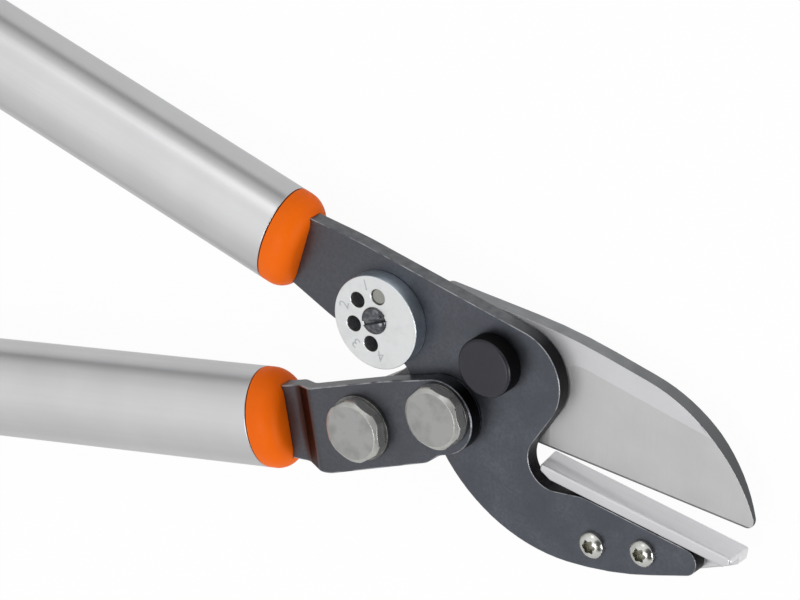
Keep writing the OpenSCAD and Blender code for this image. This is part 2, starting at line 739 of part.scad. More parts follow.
// Lever side
bush_d = bolt_d + 2 * run + 2 * bush_wall;
module lever_plate()
    color([0.29, 0.31, 0.34]) difference() {
        intersection() {
            slab(lever_outline, plate_back - past, lever_front + past);
            at(fulcrum, 0) rotate(180 + lower_angle)
                translate([0, handle_len / 2, 0]) rotate([90, 0, 0])
                    linear_extrude(handle_len) polygon(lever_side);
        }
        post(fulcrum, bush_d + 2 * seat, plate_back - past, lever_front + past);
        post(drive, drive_d + 2 * seat, plate_back - past, lever_front + past);
        at_lower() tang_pin_holes(seat);
    }
module lower_tube() at_lower() handle_tube();
module lower_collar() at_lower() handle_collar();
module lower_grip() at_lower() handle_grip();
module lower_cap() at_lower() handle_cap();
module lower_tang_pins() at_lower() handle_tang_pins();
module lever_bush()
    color([0.65, 0.52, 0.28]) ring(fulcrum, bush_d, bolt_d + 2 * run, lever_back, lever_front);
module lever_shim()
    color([0.65, 0.66, 0.67])
        ring(fulcrum, fulcrum_washer_d, bolt_d + 2 * run, lever_back - shim_t, lever_back);

// Drive bolt: fixed in the lever, its roller in the slot of the blade's tail
drive_head_seat = lever_front + washer_t;
module drive_bolt()
    color([0.55, 0.56, 0.57]) {
        post(drive, drive_d, nut_back, drive_head_seat + past);
        hexagon(drive, head_af, drive_head_spin, drive_head_seat, drive_head_seat + head_t, true);
    }
module drive_washer()
    color([0.45, 0.45, 0.45])
        ring(drive, front_washer_d, drive_d + 2 * seat, lever_front, drive_head_seat);
module drive_spacer()
    color([0.60, 0.61, 0.62])
        ring(drive, drive_d + 2 * spacer_wall, drive_d + 2 * seat, blade_front + play, lever_back);
module drive_roller()
    color([0.66, 0.67, 0.68]) ring(drive, roller_d, drive_d + 2 * run, blade_back, blade_front);
module drive_rear_washer()
    color([0.62, 0.63, 0.64])
        ring(drive, rear_washer_d, drive_d + 2 * seat, rear_washer_back, rear_washer_back + washer_t);
module drive_nut()
    color([0.55, 0.56, 0.58]) difference() {
        hexagon(drive, drive_nut_af, drive_nut_spin, nut_back, rear_washer_back, false);
        post(drive, drive_d + 2 * seat, nut_back - past, rear_washer_back + past);
    }

// Blade: ground to an edge from both faces, with a radial slot in its tail
bevel_line = bevel_w - edge_drop;
bevel_depth = (blade_t - edge_t) / 2;
module bevel_cut()
    translate([blade_heel_x - bevel_w, 0, 0]) rotate([90, 0, 90])
        linear_extrude(2 * blade_reach)
            polygon([[bevel_line, 0], [-edge_drop - bevel_w, 0],
                     [-edge_drop - bevel_w, -2 * bevel_depth]]);
module blade()
    color([0.70, 0.71, 0.72]) difference() {
        slab(blade_outline, blade_back, blade_front);
        post(main_pivot, bush_d + 2 * seat, blade_back - past, blade_front + past);
        rotate(drive_direction) {
            translate([slot_near, -slot_w / 2, blade_back - past])
                cube([slot_far - slot_near, slot_w, blade_t + 2 * past]);
            for (reach = [slot_near, slot_far])
                post([reach, 0], slot_w, blade_back - past, blade_front + past);
        }
        translate([0, 0, blade_front]) bevel_cut();
        translate([0, 0, blade_back]) mirror([0, 0, 1]) bevel_cut();
    }
module blade_bush()
    color([0.65, 0.52, 0.28]) ring(main_pivot, bush_d, bolt_d + 2 * run, blade_back, blade_front);
module blade_shim()
    color([0.65, 0.66, 0.67])
        ring(main_pivot, blade_shim_d, bolt_d + 2 * run, blade_front, blade_front + shim_t);

hook_plate();
upper_collar();
upper_tube();
upper_grip();
upper_cap();
upper_tang_pins();
anvil();
anvil_screws();
stop_disc();
stop_screw();
stop_pin();
pivot_bolt();
pivot_cap();
pivot_washer();
pivot_nut();
fulcrum_bolt();
fulcrum_washer();
lever_plate();
lower_collar();
lower_tube();
lower_grip();
lower_cap();
lower_tang_pins();
lever_bush();
lever_shim();
drive_bolt();
drive_washer();
drive_spacer();
drive_roller();
drive_rear_washer();
drive_nut();
blade();
blade_bush();
blade_shim();
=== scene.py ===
# %% [markdown]
# # Dressing an anvil lopper
# The lopper lies on its back with its front face up: two dark steel plates and a pale blade at the head,
# two orange collars, and two long oval aluminium handles with ribbed rubber grips. The CAD frame already
# holds every solid in its place, in metres. This lesson gives each of them the edges, details and finishes
# of the real tool.

# %% Load the frame
import json
import math

import bmesh
import bpy
from mathutils import Matrix, Vector

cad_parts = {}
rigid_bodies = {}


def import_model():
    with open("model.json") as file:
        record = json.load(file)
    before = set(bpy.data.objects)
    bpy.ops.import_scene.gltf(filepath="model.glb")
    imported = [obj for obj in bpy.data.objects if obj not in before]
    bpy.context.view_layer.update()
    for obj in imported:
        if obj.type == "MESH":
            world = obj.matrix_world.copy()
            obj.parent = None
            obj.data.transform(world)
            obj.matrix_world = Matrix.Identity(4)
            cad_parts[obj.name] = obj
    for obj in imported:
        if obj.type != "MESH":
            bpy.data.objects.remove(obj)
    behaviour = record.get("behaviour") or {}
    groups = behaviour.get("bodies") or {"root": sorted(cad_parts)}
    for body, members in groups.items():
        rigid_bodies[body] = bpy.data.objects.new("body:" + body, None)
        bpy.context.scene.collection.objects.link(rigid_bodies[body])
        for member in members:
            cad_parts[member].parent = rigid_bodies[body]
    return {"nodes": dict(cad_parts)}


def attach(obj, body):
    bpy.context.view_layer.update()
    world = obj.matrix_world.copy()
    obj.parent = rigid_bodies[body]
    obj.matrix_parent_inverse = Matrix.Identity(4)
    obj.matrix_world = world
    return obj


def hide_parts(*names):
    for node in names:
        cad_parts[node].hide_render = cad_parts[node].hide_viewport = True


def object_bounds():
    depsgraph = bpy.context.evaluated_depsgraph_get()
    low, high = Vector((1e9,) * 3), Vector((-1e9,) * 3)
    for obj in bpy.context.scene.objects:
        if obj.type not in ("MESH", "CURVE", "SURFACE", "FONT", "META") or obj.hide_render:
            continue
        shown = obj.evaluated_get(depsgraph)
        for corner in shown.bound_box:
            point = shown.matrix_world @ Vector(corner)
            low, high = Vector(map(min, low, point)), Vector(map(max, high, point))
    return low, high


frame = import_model()
cad_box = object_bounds()
scene = bpy.context.scene
MM = 0.001

# %% [markdown]
# ## Camera
# A long lens looks down on the head from its upper right, so the plates' right and upper sides show. The
# camera could be aimed with a Track To constraint, but its roll matters here too. So its three axes are
# written as a rotation matrix: the image's right, the image's up, and the way back to the camera.

# %% Camera
CAMERA_PLACE = Vector((0.68513, 0.70351, 1.12980))
IMAGE_RIGHT = Vector((0.81317, 0.07971, -0.57654))
IMAGE_UP = Vector((-0.32722, 0.88181, -0.33961))
TO_CAMERA = Vector((0.48133, 0.46482, 0.74314))

lens = bpy.data.cameras.new("long_lens")
lens.lens = 225
lens.sensor_width = 36
lens.clip_start = 0.05
lens.clip_end = 60
camera = bpy.data.objects.new("long_lens", lens)
camera_turn = Matrix((IMAGE_RIGHT, IMAGE_UP, TO_CAMERA)).transposed().to_4x4()
camera.matrix_world = Matrix.Translation(CAMERA_PLACE) @ camera_turn
scene.collection.objects.link(camera)
scene.camera = camera
scene.view_settings.view_transform = "Standard"
print("camera at", [round(part, 3) for part in CAMERA_PLACE])

# %% [markdown]
# ## Helpers
# Worlds, materials and geometry trees are all made of nodes. Each node could be written out in lines of its
# own, but the same lines would come back a hundred times. So one helper adds a node, sets its options, and
# fills its inputs. Two more give a grey and a direction in the plan.

# %% Helpers
def put(tree, kind, inputs=None, **settings):
    """Adds a node, sets its options, and fills its inputs with values or links."""
    node = tree.nodes.new(kind)
    for label, value in settings.items():
        setattr(node, label, value)
    for label, value in (inputs or {}).items():
        sources = value if isinstance(value, list) else [value]
        for source in sources:
            if isinstance(source, bpy.types.NodeSocket):
                tree.links.new(source, node.inputs[label])
            else:
                node.inputs[label].default_value = source
    return node


def grey(level):
    return (level, level, level, 1.0)


def heading(angle):
    """A direction in the plan, from its angle in degrees."""
    return Vector((math.cos(math.radians(angle)), math.sin(math.radians(angle))))


print("helpers ready")

# %% [markdown]
# ## Studio
# Bare metal shows its surroundings, so the studio is half of its look. The world is a soft tent of light
# that is brightest overhead. Towards the upper left of the picture it has a dark gap just above the
# horizon, and this gap is what draws the long grey stripe along both tubes. Behind the camera it is dark
# too, which keeps the sides of the plates and heads black beside their bright faces. Three soft lamps lift
# the faces a little. A ring of strong lamps could light the tool instead, but then each of them would show
# as a patch in the tubes.

# %% World
DARK_SIDE = Vector((-0.52, 0.85, 0.0))
DARK_SIDE_SPAN = (0.15, 0.75)
CAMERA_SIDE = Vector((0.66, 0.0, 0.75))
CAMERA_SIDE_SPAN = (0.72, 0.88)
CAMERA_SIDE_LEVEL = 0.06
TENT = ((0.0, 0.60), (0.25, 0.66), (0.55, 0.70), (0.66, 0.745), (0.743, 0.84), (0.9, 0.95), (1.0, 1.0))
TENT_GAP = ((0.0, 0.15), (0.09, 0.17), (0.31, 0.56), (0.55, 0.70), (0.66, 0.745), (0.743, 0.84), (1.0, 1.0))

studio = bpy.data.worlds.new("light_tent")
studio.use_nodes = True
scene.world = studio
sky = studio.node_tree
look = put(sky, "ShaderNodeTexCoord").outputs["Generated"]


def fill_ramp(node, stops):
    """Sets a colour ramp's stops to greys."""
    ramp = node.color_ramp
    while len(ramp.elements) < len(stops):
        ramp.elements.new(0.5)
    for stop, (place, level) in zip(ramp.elements, stops):
        stop.position = place
        stop.color = grey(level)


def facing(direction, start, end):
    """How far the world lies towards a side: 0 below start, 1 above end."""
    side = put(sky, "ShaderNodeVectorMath", {0: look, 1: direction}, operation="DOT_PRODUCT")
    share = put(sky, "ShaderNodeMapRange", {
        "Value": side.outputs["Value"], "From Min": start, "From Max": end,
    }, interpolation_type="SMOOTHSTEP")
    return share.outputs["Result"]


height = put(sky, "ShaderNodeSeparateXYZ", {0: look}).outputs["Z"]
ramps = []
for stops in (TENT, TENT_GAP):
    ramp = put(sky, "ShaderNodeValToRGB", {"Fac": height})
    fill_ramp(ramp, stops)
    ramps.append(ramp.outputs["Color"])
tent = put(sky, "ShaderNodeMixRGB", {
    "Fac": facing(DARK_SIDE, *DARK_SIDE_SPAN), "Color1": ramps[0], "Color2": ramps[1],
})
room = put(sky, "ShaderNodeMixRGB", {
    "Fac": facing(CAMERA_SIDE, *CAMERA_SIDE_SPAN), "Color1": tent.outputs["Color"],
    "Color2": grey(CAMERA_SIDE_LEVEL),
})
sky.links.new(room.outputs["Color"], sky.nodes["Background"].inputs["Color"])
print("world with", len(TENT), "steps of light")

# %% Lamps
LAMP_AIM = Vector((0.0, 0.0, 0.02))
LAMPS = (
    ("overhead_lamp", Vector((0.25, -0.55, 2.1)), 1.0, 9.0),
    ("tube_lamp", Vector((-0.5, 1.5, 1.75)), 0.9, 1.5),
    ("side_lamp", Vector((1.9, -0.2, 0.68)), 1.0, 12.0),
)
for lamp_name, place, size, power in LAMPS:
    lamp_data = bpy.data.lights.new(lamp_name, "AREA")
    lamp_data.shape = "DISK"
    lamp_data.size = size
    lamp_data.energy = power
    lamp = bpy.data.objects.new(lamp_name, lamp_data)
    lamp.location = place
    lamp.rotation_euler = (LAMP_AIM - place).to_track_quat("-Z", "Y").to_euler()
    scene.collection.objects.link(lamp)
print("lamps:", len(LAMPS))

# %% [markdown]
# ## Floor
# The floor is a wide white disc that keeps a faint shadow. Its paint is mostly a glow that the camera and
# shiny pieces see, and for the rest plain white paint, which carries the shadow. Shiny pieces see a softer
# glow than the camera, as they would from a floor that is lit from above. A flat plane would do, but a disc
# has no corners that could show in a reflection.

# %% Floor
FLOOR_RADIUS = 9
FLOOR_CORNERS = 96
FLOOR_DROP = 0.02 * MM
FLOOR_WHITE = 0.95
FLOOR_GLOW = 0.96
FLOOR_IN_METAL = 0.66
floor_mesh = bpy.data.meshes.new("studio_floor")
disc = bmesh.new()
bmesh.ops.create_circle(disc, cap_ends=True, segments=FLOOR_CORNERS, radius=FLOOR_RADIUS)
disc.to_mesh(floor_mesh)
disc.free()
floor = bpy.data.objects.new("studio_floor", floor_mesh)
floor.location.z = cad_box[0][2] - FLOOR_DROP
scene.collection.objects.link(floor)

paint = bpy.data.materials.new("white_floor_paint")
paint.use_nodes = True
coat = paint.node_tree
coat.nodes.clear()
rays = put(coat, "ShaderNodeLightPath").outputs
seen = put(coat, "ShaderNodeMath", {0: rays["Is Camera Ray"], 1: rays["Is Glossy Ray"]}, operation="ADD")
seen.use_clamp = True
glow_share = put(coat, "ShaderNodeMath", {0: seen.outputs[0], 1: FLOOR_GLOW}, operation="MULTIPLY")
glow_tone = put(coat, "ShaderNodeMixRGB", {
    "Fac": rays["Is Camera Ray"], "Color1": grey(FLOOR_IN_METAL), "Color2": grey(1.0),
})
glow = put(coat, "ShaderNodeEmission", {"Color": glow_tone.outputs["Color"]})
matt = put(coat, "ShaderNodeBsdfDiffuse", {"Color": grey(FLOOR_WHITE)})
both = put(coat, "ShaderNodeMixShader", {0: glow_share.outputs[0], 1: matt.outputs[0], 2: glow.outputs[0]})
put(coat, "ShaderNodeOutputMaterial", {"Surface": both.outputs[0]})
floor_mesh.materials.append(paint)
print("floor of radius", FLOOR_RADIUS, "m")

# %% [markdown]
# ## How the finishes are made
# Every finish is a Principled shader fed by a few noise patterns on Object coordinates, so a pattern stays
# on its piece in every pose. A picture texture could hold more detail, but it needs a UV map on each piece
# and a file on disk. The small class below adds the patterns one by one: a noise, a tint between two
# colours, a roughness range and a fine bump.

# %% Finish helper
MIX_SHARE = 0
MIX_FIRST = 6
MIX_SECOND = 7
MIX_RESULT = 2


class Finish:
    """One material: a Principled shader and the patterns that feed it."""

    def __init__(self, name, **sockets):
        self.material = bpy.data.materials.new(name)
        self.material.use_nodes = True
        self.tree = self.material.node_tree
        self.shader = self.tree.nodes["Principled BSDF"]
        for label, value in sockets.items():
            self.shader.inputs[label.replace("_", " ")].default_value = value
        self.place = self.add("ShaderNodeTexCoord").outputs["Object"]

    def add(self, kind, inputs=None, **settings):
        return put(self.tree, kind, inputs, **settings)

    def noise(self, grain_mm, detail=3, stretch=(1, 1, 1), turn=0):
        """A noise whose grain is about grain_mm, stretched along an axis turned about Z."""
        scale = tuple(1 / (grain_mm * MM * part) for part in stretch)
        laid = self.add("ShaderNodeMapping", {"Vector": self.place, "Rotation": (0, 0, -math.radians(turn))})
        sized = self.add("ShaderNodeMapping", {"Vector": laid.outputs[0], "Scale": scale})
        pattern = self.add("ShaderNodeTexNoise", {"Vector": sized.outputs[0], "Scale": 1.0, "Detail": detail})
        return pattern.outputs["Fac"]

    def ranged(self, source, low, high, start=0.35, end=0.65):
        """Spreads the middle of a pattern over a range of values."""
        spread = self.add("ShaderNodeMapRange", {
            "Value": source, "From Min": start, "From Max": end, "To Min": low, "To Max": high,
        })
        return spread.outputs["Result"]

    def along(self, low, high, start_mm, end_mm):
        """A value that changes along X, which runs from the handles to the tip."""
        x = self.add("ShaderNodeSeparateXYZ", {0: self.place}).outputs["X"]
        return self.ranged(x, low, high, start_mm * MM, end_mm * MM)

    def mixed(self, share, first, second):
        """A blend of two tones, each of them a colour or a blend."""
        tones = [tone if isinstance(tone, bpy.types.NodeSocket) else (*tone, 1.0) for tone in (first, second)]
        slots = {MIX_SHARE: share, MIX_FIRST: tones[0], MIX_SECOND: tones[1]}
        return self.add("ShaderNodeMix", slots, data_type="RGBA").outputs[MIX_RESULT]

    def colour(self, source):
        self.tree.links.new(source, self.shader.inputs["Base Color"])

    def roughness(self, source):
        self.tree.links.new(source, self.shader.inputs["Roughness"])

    def bump(self, source, depth_mm):
        """Raises the surface by a pattern."""
        wave = self.add("ShaderNodeBump", {"Height": source, "Distance": depth_mm * MM, "Strength": 1.0})
        self.tree.links.new(wave.outputs[0], self.shader.inputs["Normal"])


finishes = {}
print("finish helper ready")

# %% [markdown]
# ## Steel finishes
# The plates are blackened steel: dark, a little blue, cloudy, and satin enough to mirror the heads beside
# them. Their sheared sides are rubbed pale towards the handles, and towards the jaw they are painted black
# as painted shade. The bend in the lever is painted nearly black with a red tint, a painted shade with a
# painted reflection of the orange collar, and the eased edges have lost the black in patches. The blade is
# pale ground steel, with a lighter band above the bevel, and a spine that is darker towards the tip. A
# paint shader could be laid over a metal one, but a metal with a blended tint is shorter, and nearly all of
# its look is reflection anyway.

# %% Plates and worn edges
plate = Finish("blackened_steel", Metallic=1.0)
cloud = plate.noise(14, detail=5)
drift = plate.noise(4, detail=3)
speck = plate.noise(0.9, detail=2)
plate_tint = plate.mixed(plate.ranged(cloud, 0, 1), (0.092, 0.098, 0.119), (0.134, 0.142, 0.168))
plate_tint = plate.mixed(plate.ranged(drift, 0, 0.6), plate_tint, (0.100, 0.111, 0.123))
plate_tint = plate.mixed(plate.along(0.7, 0, -48, 0), plate_tint, (0.112, 0.111, 0.122))
plate.colour(plate.mixed(plate.ranged(speck, 0, 0.6), plate_tint, (0.088, 0.093, 0.106)))
plate.roughness(plate.ranged(cloud, 0.36, 0.45))
plate.bump(plate.noise(0.35, detail=2), 0.012)
finishes["plate"] = plate.material


def sheared_side(name, pale_to_mm, painted_shade_from_mm, dark):
    """A sheared side that is rubbed pale towards the handle, and painted black towards the jaw as painted
    shade.
    """
    sheared = Finish(name, Metallic=1.0)
    tear = sheared.noise(3, detail=4)
    tint = sheared.mixed(sheared.ranged(tear, 0, 1), (0.15, 0.155, 0.165), (0.23, 0.235, 0.245))
    # towards the jaw the tone turns black: painted shade
    sheared.colour(sheared.mixed(sheared.along(0, 1, pale_to_mm, painted_shade_from_mm), tint, dark))
    sheared.roughness(sheared.ranged(tear, 0.40, 0.50))
    sheared.bump(sheared.noise(0.6, detail=3), 0.02)
    return sheared.material


# the hook's sides towards the jaw and the lever's round end are painted black as painted shade
finishes["side"] = sheared_side("sheared_hook_side", 0, 16, (0.022, 0.022, 0.024))
finishes["lever_side"] = sheared_side("sheared_lever_side", -22, -8, (0.012, 0.012, 0.014))
# painted nearly black with a red tint: painted shade with a painted reflection of the orange collar
finishes["bend"] = sheared_side("bent_step", -90, -70, (0.02, 0.008, 0.008))

worn = Finish("rubbed_edge_steel", Metallic=1.0)
patch = worn.noise(5, detail=4)
worn.colour(worn.mixed(worn.ranged(patch, 0, 1, 0.38, 0.60), (0.13, 0.135, 0.15), (0.40, 0.41, 0.43)))
worn.roughness(worn.ranged(patch, 0.46, 0.34))
worn.bump(worn.noise(0.5), 0.01)
finishes["worn"] = worn.material
print("plates:", plate.material.name, finishes["side"].name, worn.material.name)

# %% Blade
def ground_steel(name, low, high, line_share):
    """Pale satin steel with fine grinding lines across the blade."""
    steel = Finish(name, Metallic=0.6)
    haze = steel.noise(12, detail=4)
    lines = steel.noise(0.22, detail=2, stretch=(1, 60, 60))
    tint = steel.mixed(steel.ranged(haze, 0, 1), low, high)
    steel.colour(steel.mixed(steel.ranged(lines, 0, line_share), tint, tuple(0.8 * part for part in low)))
    steel.roughness(steel.ranged(lines, 0.38, 0.44))
    steel.bump(lines, 0.0015)
    return steel.material


finishes["band"] = ground_steel("blade_band_steel", (0.635, 0.635, 0.65), (0.67, 0.67, 0.685), 0.04)
finishes["bevel"] = ground_steel("blade_bevel_steel", (0.58, 0.58, 0.583), (0.61, 0.61, 0.613), 0.07)
finishes["honed"] = ground_steel("honed_edge_steel", (0.20, 0.20, 0.205), (0.27, 0.27, 0.275), 0.2)

spine = Finish("scaled_spine_steel", Metallic=1.0)
scale_cloud = spine.noise(6, detail=5)
spine_tint = spine.mixed(spine.ranged(scale_cloud, 0, 1), (0.275, 0.285, 0.295), (0.37, 0.38, 0.39))
# the spine turns darker towards the tip
spine.colour(spine.mixed(spine.along(0, 1, 30, 85), spine_tint, (0.13, 0.135, 0.14)))
spine.roughness(spine.ranged(scale_cloud, 0.34, 0.46))
spine.bump(spine.noise(0.4), 0.015)
finishes["spine"] = spine.material
print("blade:", finishes["band"].name, finishes["bevel"].name, spine.material.name)

# %% [markdown]
# ## Fastener finishes
# The two hexagon bolts are dull grey with smudges and a rim painted brighter as a painted highlight, the
# washers darker, the anvil screws bright zinc with a warm cast and recesses darkened as painted shade, the
# stop disc pale zinc with hole walls darkened as painted shade, and the disc's own screw black. Each could
# have a recipe of its own, but they differ in values alone. So one function makes them all: a base metal,
# smudges of a second tone, and a fine grain.

# %% Fasteners
def smudged_metal(name, clean, smudge, rough, spread_mm=4.0, metallic=1.0):
    """A metal with blotches of a second tone and a fine grain."""
    metal = Finish(name, Metallic=metallic)
    blotch = metal.noise(spread_mm, detail=4)
    metal.colour(metal.mixed(metal.ranged(blotch, 0, 1, 0.45, 0.7), clean, smudge))
    metal.roughness(metal.ranged(blotch, rough - 0.05, rough + 0.07))
    metal.bump(metal.noise(0.3, detail=2), 0.008)
    return metal.material


FASTENERS = {
    "bolt": ("dull_bolt_zinc", (0.40, 0.40, 0.395), (0.31, 0.31, 0.30), 0.36, 5.0, 0.7),
    # the rim's brighter tone is a painted highlight
    "bolt_rim": ("rubbed_bolt_zinc", (0.56, 0.56, 0.54), (0.45, 0.45, 0.43), 0.34, 3.0, 0.7),
    "washer": ("grey_washer_steel", (0.24, 0.24, 0.23), (0.15, 0.15, 0.15), 0.36),
    "screw": ("bright_zinc", (0.72, 0.72, 0.69), (0.58, 0.58, 0.54), 0.20, 2.5),
    # the recess tone is a painted shade
    "recess": ("greasy_recess", (0.32, 0.31, 0.25), (0.13, 0.12, 0.09), 0.40, 1.2),
    "disc": ("pale_zinc", (0.82, 0.835, 0.84), (0.73, 0.745, 0.75), 0.34, 5.0),
    "disc_side": ("turned_zinc", (0.74, 0.83, 0.91), (0.56, 0.63, 0.70), 0.36, 4.0),
    # the hole walls' darker tone is a painted shade
    "hole": ("drilled_zinc", (0.62, 0.62, 0.62), (0.44, 0.44, 0.44), 0.40, 2.0),
    "dark_screw": ("black_oxide", (0.10, 0.104, 0.118), (0.23, 0.235, 0.245), 0.24, 1.4),
    "pin": ("pin_steel", (0.36, 0.36, 0.33), (0.28, 0.28, 0.26), 0.32, 2.0),
    "bronze": ("bush_bronze", (0.60, 0.42, 0.18), (0.50, 0.35, 0.16), 0.36),
    "mark": ("etched_zinc", (0.56, 0.58, 0.59), (0.46, 0.48, 0.49), 0.5, 2.0),
}
for kind, values in FASTENERS.items():
    finishes[kind] = smudged_metal(*values)
print("fasteners:", len(finishes), "finishes so far")

# %% [markdown]
# ## Aluminium finishes
# Tubes and anvil are drawn or pushed through a die, which leaves faint lines along them. They could be cut
# as bump, but they are too fine for that, so they are only a change of tint and roughness: a noise that is
# stretched more than a hundred times along the piece. It has to lie along each piece, so the recipe takes
# the angle.

# %% Aluminium
UPPER_ANGLE = 168.5
LOWER_ANGLE = 195.9
ANVIL_ANGLE = -4.6


def drawn_aluminium(name, turn, base, rough, line_mm, line_share, metallic=1.0):
    """Aluminium with die lines along a direction in the plan."""
    metal = Finish(name, Metallic=metallic)
    streak = metal.noise(line_mm, detail=1, stretch=(120, 1, 1), turn=turn)
    bloom = metal.noise(22, detail=3)
    darker = tuple(0.86 * part for part in base)
    bloomed = metal.mixed(metal.ranged(bloom, 0, 0.35), base, darker)
    metal.colour(metal.mixed(metal.ranged(streak, 0, line_share), bloomed, darker))
    metal.roughness(metal.ranged(streak, rough - 0.01, rough + 0.02))
    return metal.material


TUBE_TONE = (0.745, 0.745, 0.755)
ALUMINIUM = {
    "upper_tube": ("drawn_tube_upper", UPPER_ANGLE, TUBE_TONE, 0.30, 1.4, 0.15),
    "lower_tube": ("drawn_tube_lower", LOWER_ANGLE, TUBE_TONE, 0.30, 1.4, 0.15),
    "anvil": ("pushed_anvil_face", ANVIL_ANGLE, (0.72, 0.715, 0.735), 0.32, 0.35, 0.5),
    # the upright sides get a far paler tone than the face: painted light
    "anvil_side": ("pushed_anvil_side", ANVIL_ANGLE, (0.98, 0.98, 1.0), 0.30, 0.35, 0.5, 0.6),
}
for kind, values in ALUMINIUM.items():
    finishes[kind] = drawn_aluminium(*values)
print("aluminium lies at", UPPER_ANGLE, LOWER_ANGLE, ANVIL_ANGLE, "degrees")

# %% [markdown]
# ## Plastic and rubber
# The collars and end caps are orange moulded plastic with a satin skin, the pivot's cap is black plastic with
# its side painted blacker still as painted shade, and the grips are matt rubber. Their colour hardly varies,
# so most of their look is a fine moulded grain in the bump and a roughness that changes from place to place.
# The grain could be real geometry, but it is finer than a pixel.

# %% Plastic and rubber
def moulded(name, tone, shade, rough, grain_mm, grain_depth, sheen):
    """A moulded skin: two close tones and a fine grain."""
    skin = Finish(name, Metallic=0.0, Specular_IOR_Level=sheen)
    drift = skin.noise(18, detail=4)
    skin.colour(skin.mixed(skin.ranged(drift, 0, 1), tone, shade))
    skin.roughness(skin.ranged(skin.noise(3, detail=3), rough - 0.05, rough + 0.06))
    skin.bump(skin.noise(grain_mm, detail=2), grain_depth)
    return skin.material


MOULDED = {
    "orange": ("orange_plastic", (1.0, 0.165, 0.002), (0.95, 0.15, 0.002), 0.46, 0.5, 0.012, 0.12),
    "black_cap": ("black_cap_plastic", (0.013, 0.013, 0.021), (0.019, 0.019, 0.028), 0.36, 0.4, 0.012, 0.5),
    # the cap's side tone is a painted shade
    "cap_side": ("black_cap_side", (0.0015, 0.0015, 0.002), (0.0025, 0.0025, 0.003), 0.6, 0.4, 0.012, 0.1),
    "rubber": ("grip_rubber", (0.018, 0.018, 0.019), (0.028, 0.028, 0.029), 0.62, 0.45, 0.035, 0.35),
    "seam": ("dark_seal", (0.012, 0.012, 0.012), (0.018, 0.017, 0.016), 0.7, 0.5, 0.01, 0.2),
}
for kind, values in MOULDED.items():
    finishes[kind] = moulded(*values)
print("finishes in all:", len(finishes))

# %% [markdown]
# ## Eased copies of the machined pieces
# Real plates, bolts and screws never have razor edges: an eased edge catches a thin bright line of light. A
# CAD node comes as loose triangles, so a copy is merged first, its flat faces are joined, and a Bevel
# modifier eases every edge that is sharper than an angle. The bevel can take a finish of its own, which is
# how the rubbed edges are made. Modelling each chamfer in CAD would work too, but it would cost many faces
# in the collision model. A block or a turned piece can also work on a copy, through a Boolean modifier.

# %% Copy helpers
SEW_WITHIN = 0.002 * MM
FLAT_WITHIN = math.radians(0.6)
UPRIGHT = 0.3
TURNED_CORNERS = 96


def sew(shape):
    """Sews a shape's triangles together and joins its flat faces."""
    bmesh.ops.remove_doubles(shape, verts=shape.verts, dist=SEW_WITHIN)
    bmesh.ops.dissolve_limit(shape, angle_limit=FLAT_WITHIN, verts=shape.verts, edges=shape.edges)
    return shape


def merged(node):
    """A bmesh copy of a CAD node, sewn together."""
    shape = bmesh.new()
    shape.from_mesh(frame["nodes"][node].data)
    return sew(shape)


def to_object(name, shape, materials):
    """A new object at the origin from a bmesh, which is freed."""
    mesh = bpy.data.meshes.new(name)
    shape.to_mesh(mesh)
    shape.free()
    for material in materials:
        mesh.materials.append(material)
    piece = bpy.data.objects.new(name, mesh)
    scene.collection.objects.link(piece)
    return piece


def plain_mesh(piece):
    """A piece's mesh as its modifiers leave it."""
    state = piece.evaluated_get(bpy.context.evaluated_depsgraph_get())
    return bpy.data.meshes.new_from_object(state)


def baked(piece):
    """Applies a piece's modifiers."""
    mesh = plain_mesh(piece)
    piece.modifiers.clear()
    piece.data = mesh
    return piece


def block(place, turn, size, finish):
    """A block to cut with, turned about Z."""
    shape = bmesh.new()
    laid = Matrix.Translation(place) @ Matrix.Rotation(math.radians(turn), 4, "Z")
    bmesh.ops.create_cube(shape, matrix=Matrix.Scale(MM, 4) @ laid @ Matrix.Diagonal((*size, 1)))
    return to_object("block", shape, [finishes[finish]])


def turned(name, place, profile, finish, top=0.0):
    """A round piece: its profile of radii and heights is spun about an upright axis."""
    shape = bmesh.new()
    spots = [shape.verts.new((place[0] + r, place[1], top + z)) for r, z in profile]
    edges = [shape.edges.new(pair) for pair in zip(spots, spots[1:])]
    axis = {"cent": (*place, 0), "axis": (0, 0, 1), "angle": 2 * math.pi}
    bmesh.ops.spin(shape, geom=spots + edges, steps=TURNED_CORNERS, use_merge=True, **axis)
    bmesh.ops.remove_doubles(shape, verts=shape.verts, dist=0.001)
    bmesh.ops.recalc_face_normals(shape, faces=shape.faces)
    shape.transform(Matrix.Scale(MM, 4))
    return to_object(name, shape, [finishes[finish]])


def worked(piece, tool, operation):
    """Cuts a tool out of a piece, or keeps what lies in both, and takes the tool away."""
    step = piece.modifiers.new("worked", "BOOLEAN")
    step.operation = operation
    step.object = tool
    baked(piece)
    bpy.data.objects.remove(tool)


def flat_faced(piece):
    """Lets the large flat faces rule the shading of their edges."""
    piece.modifiers.new("flat_faces", "WEIGHTED_NORMAL").keep_sharp = True
    return baked(piece)


def middle_and_top(piece):
    """The middle of a piece in the plan, and its top, in millimetres."""
    spread = [[point.co[axis] / MM for point in piece.data.vertices] for axis in range(3)]
    return [(min(values) + max(values)) / 2 for values in spread[:2]], max(spread[2])


def ease(piece, width_mm, angle=28, segments=3, finish_index=-1):
    """Eases the sharp edges, and shades the rest smooth."""
    piece.data.shade_smooth()
    bevel = piece.modifiers.new("eased", "BEVEL")
    bevel.width = width_mm * MM
    bevel.segments = segments
    bevel.limit_method = "ANGLE"
    bevel.angle_limit = math.radians(angle)
    bevel.use_clamp_overlap = False
    bevel.material = finish_index
    return flat_faced(piece)


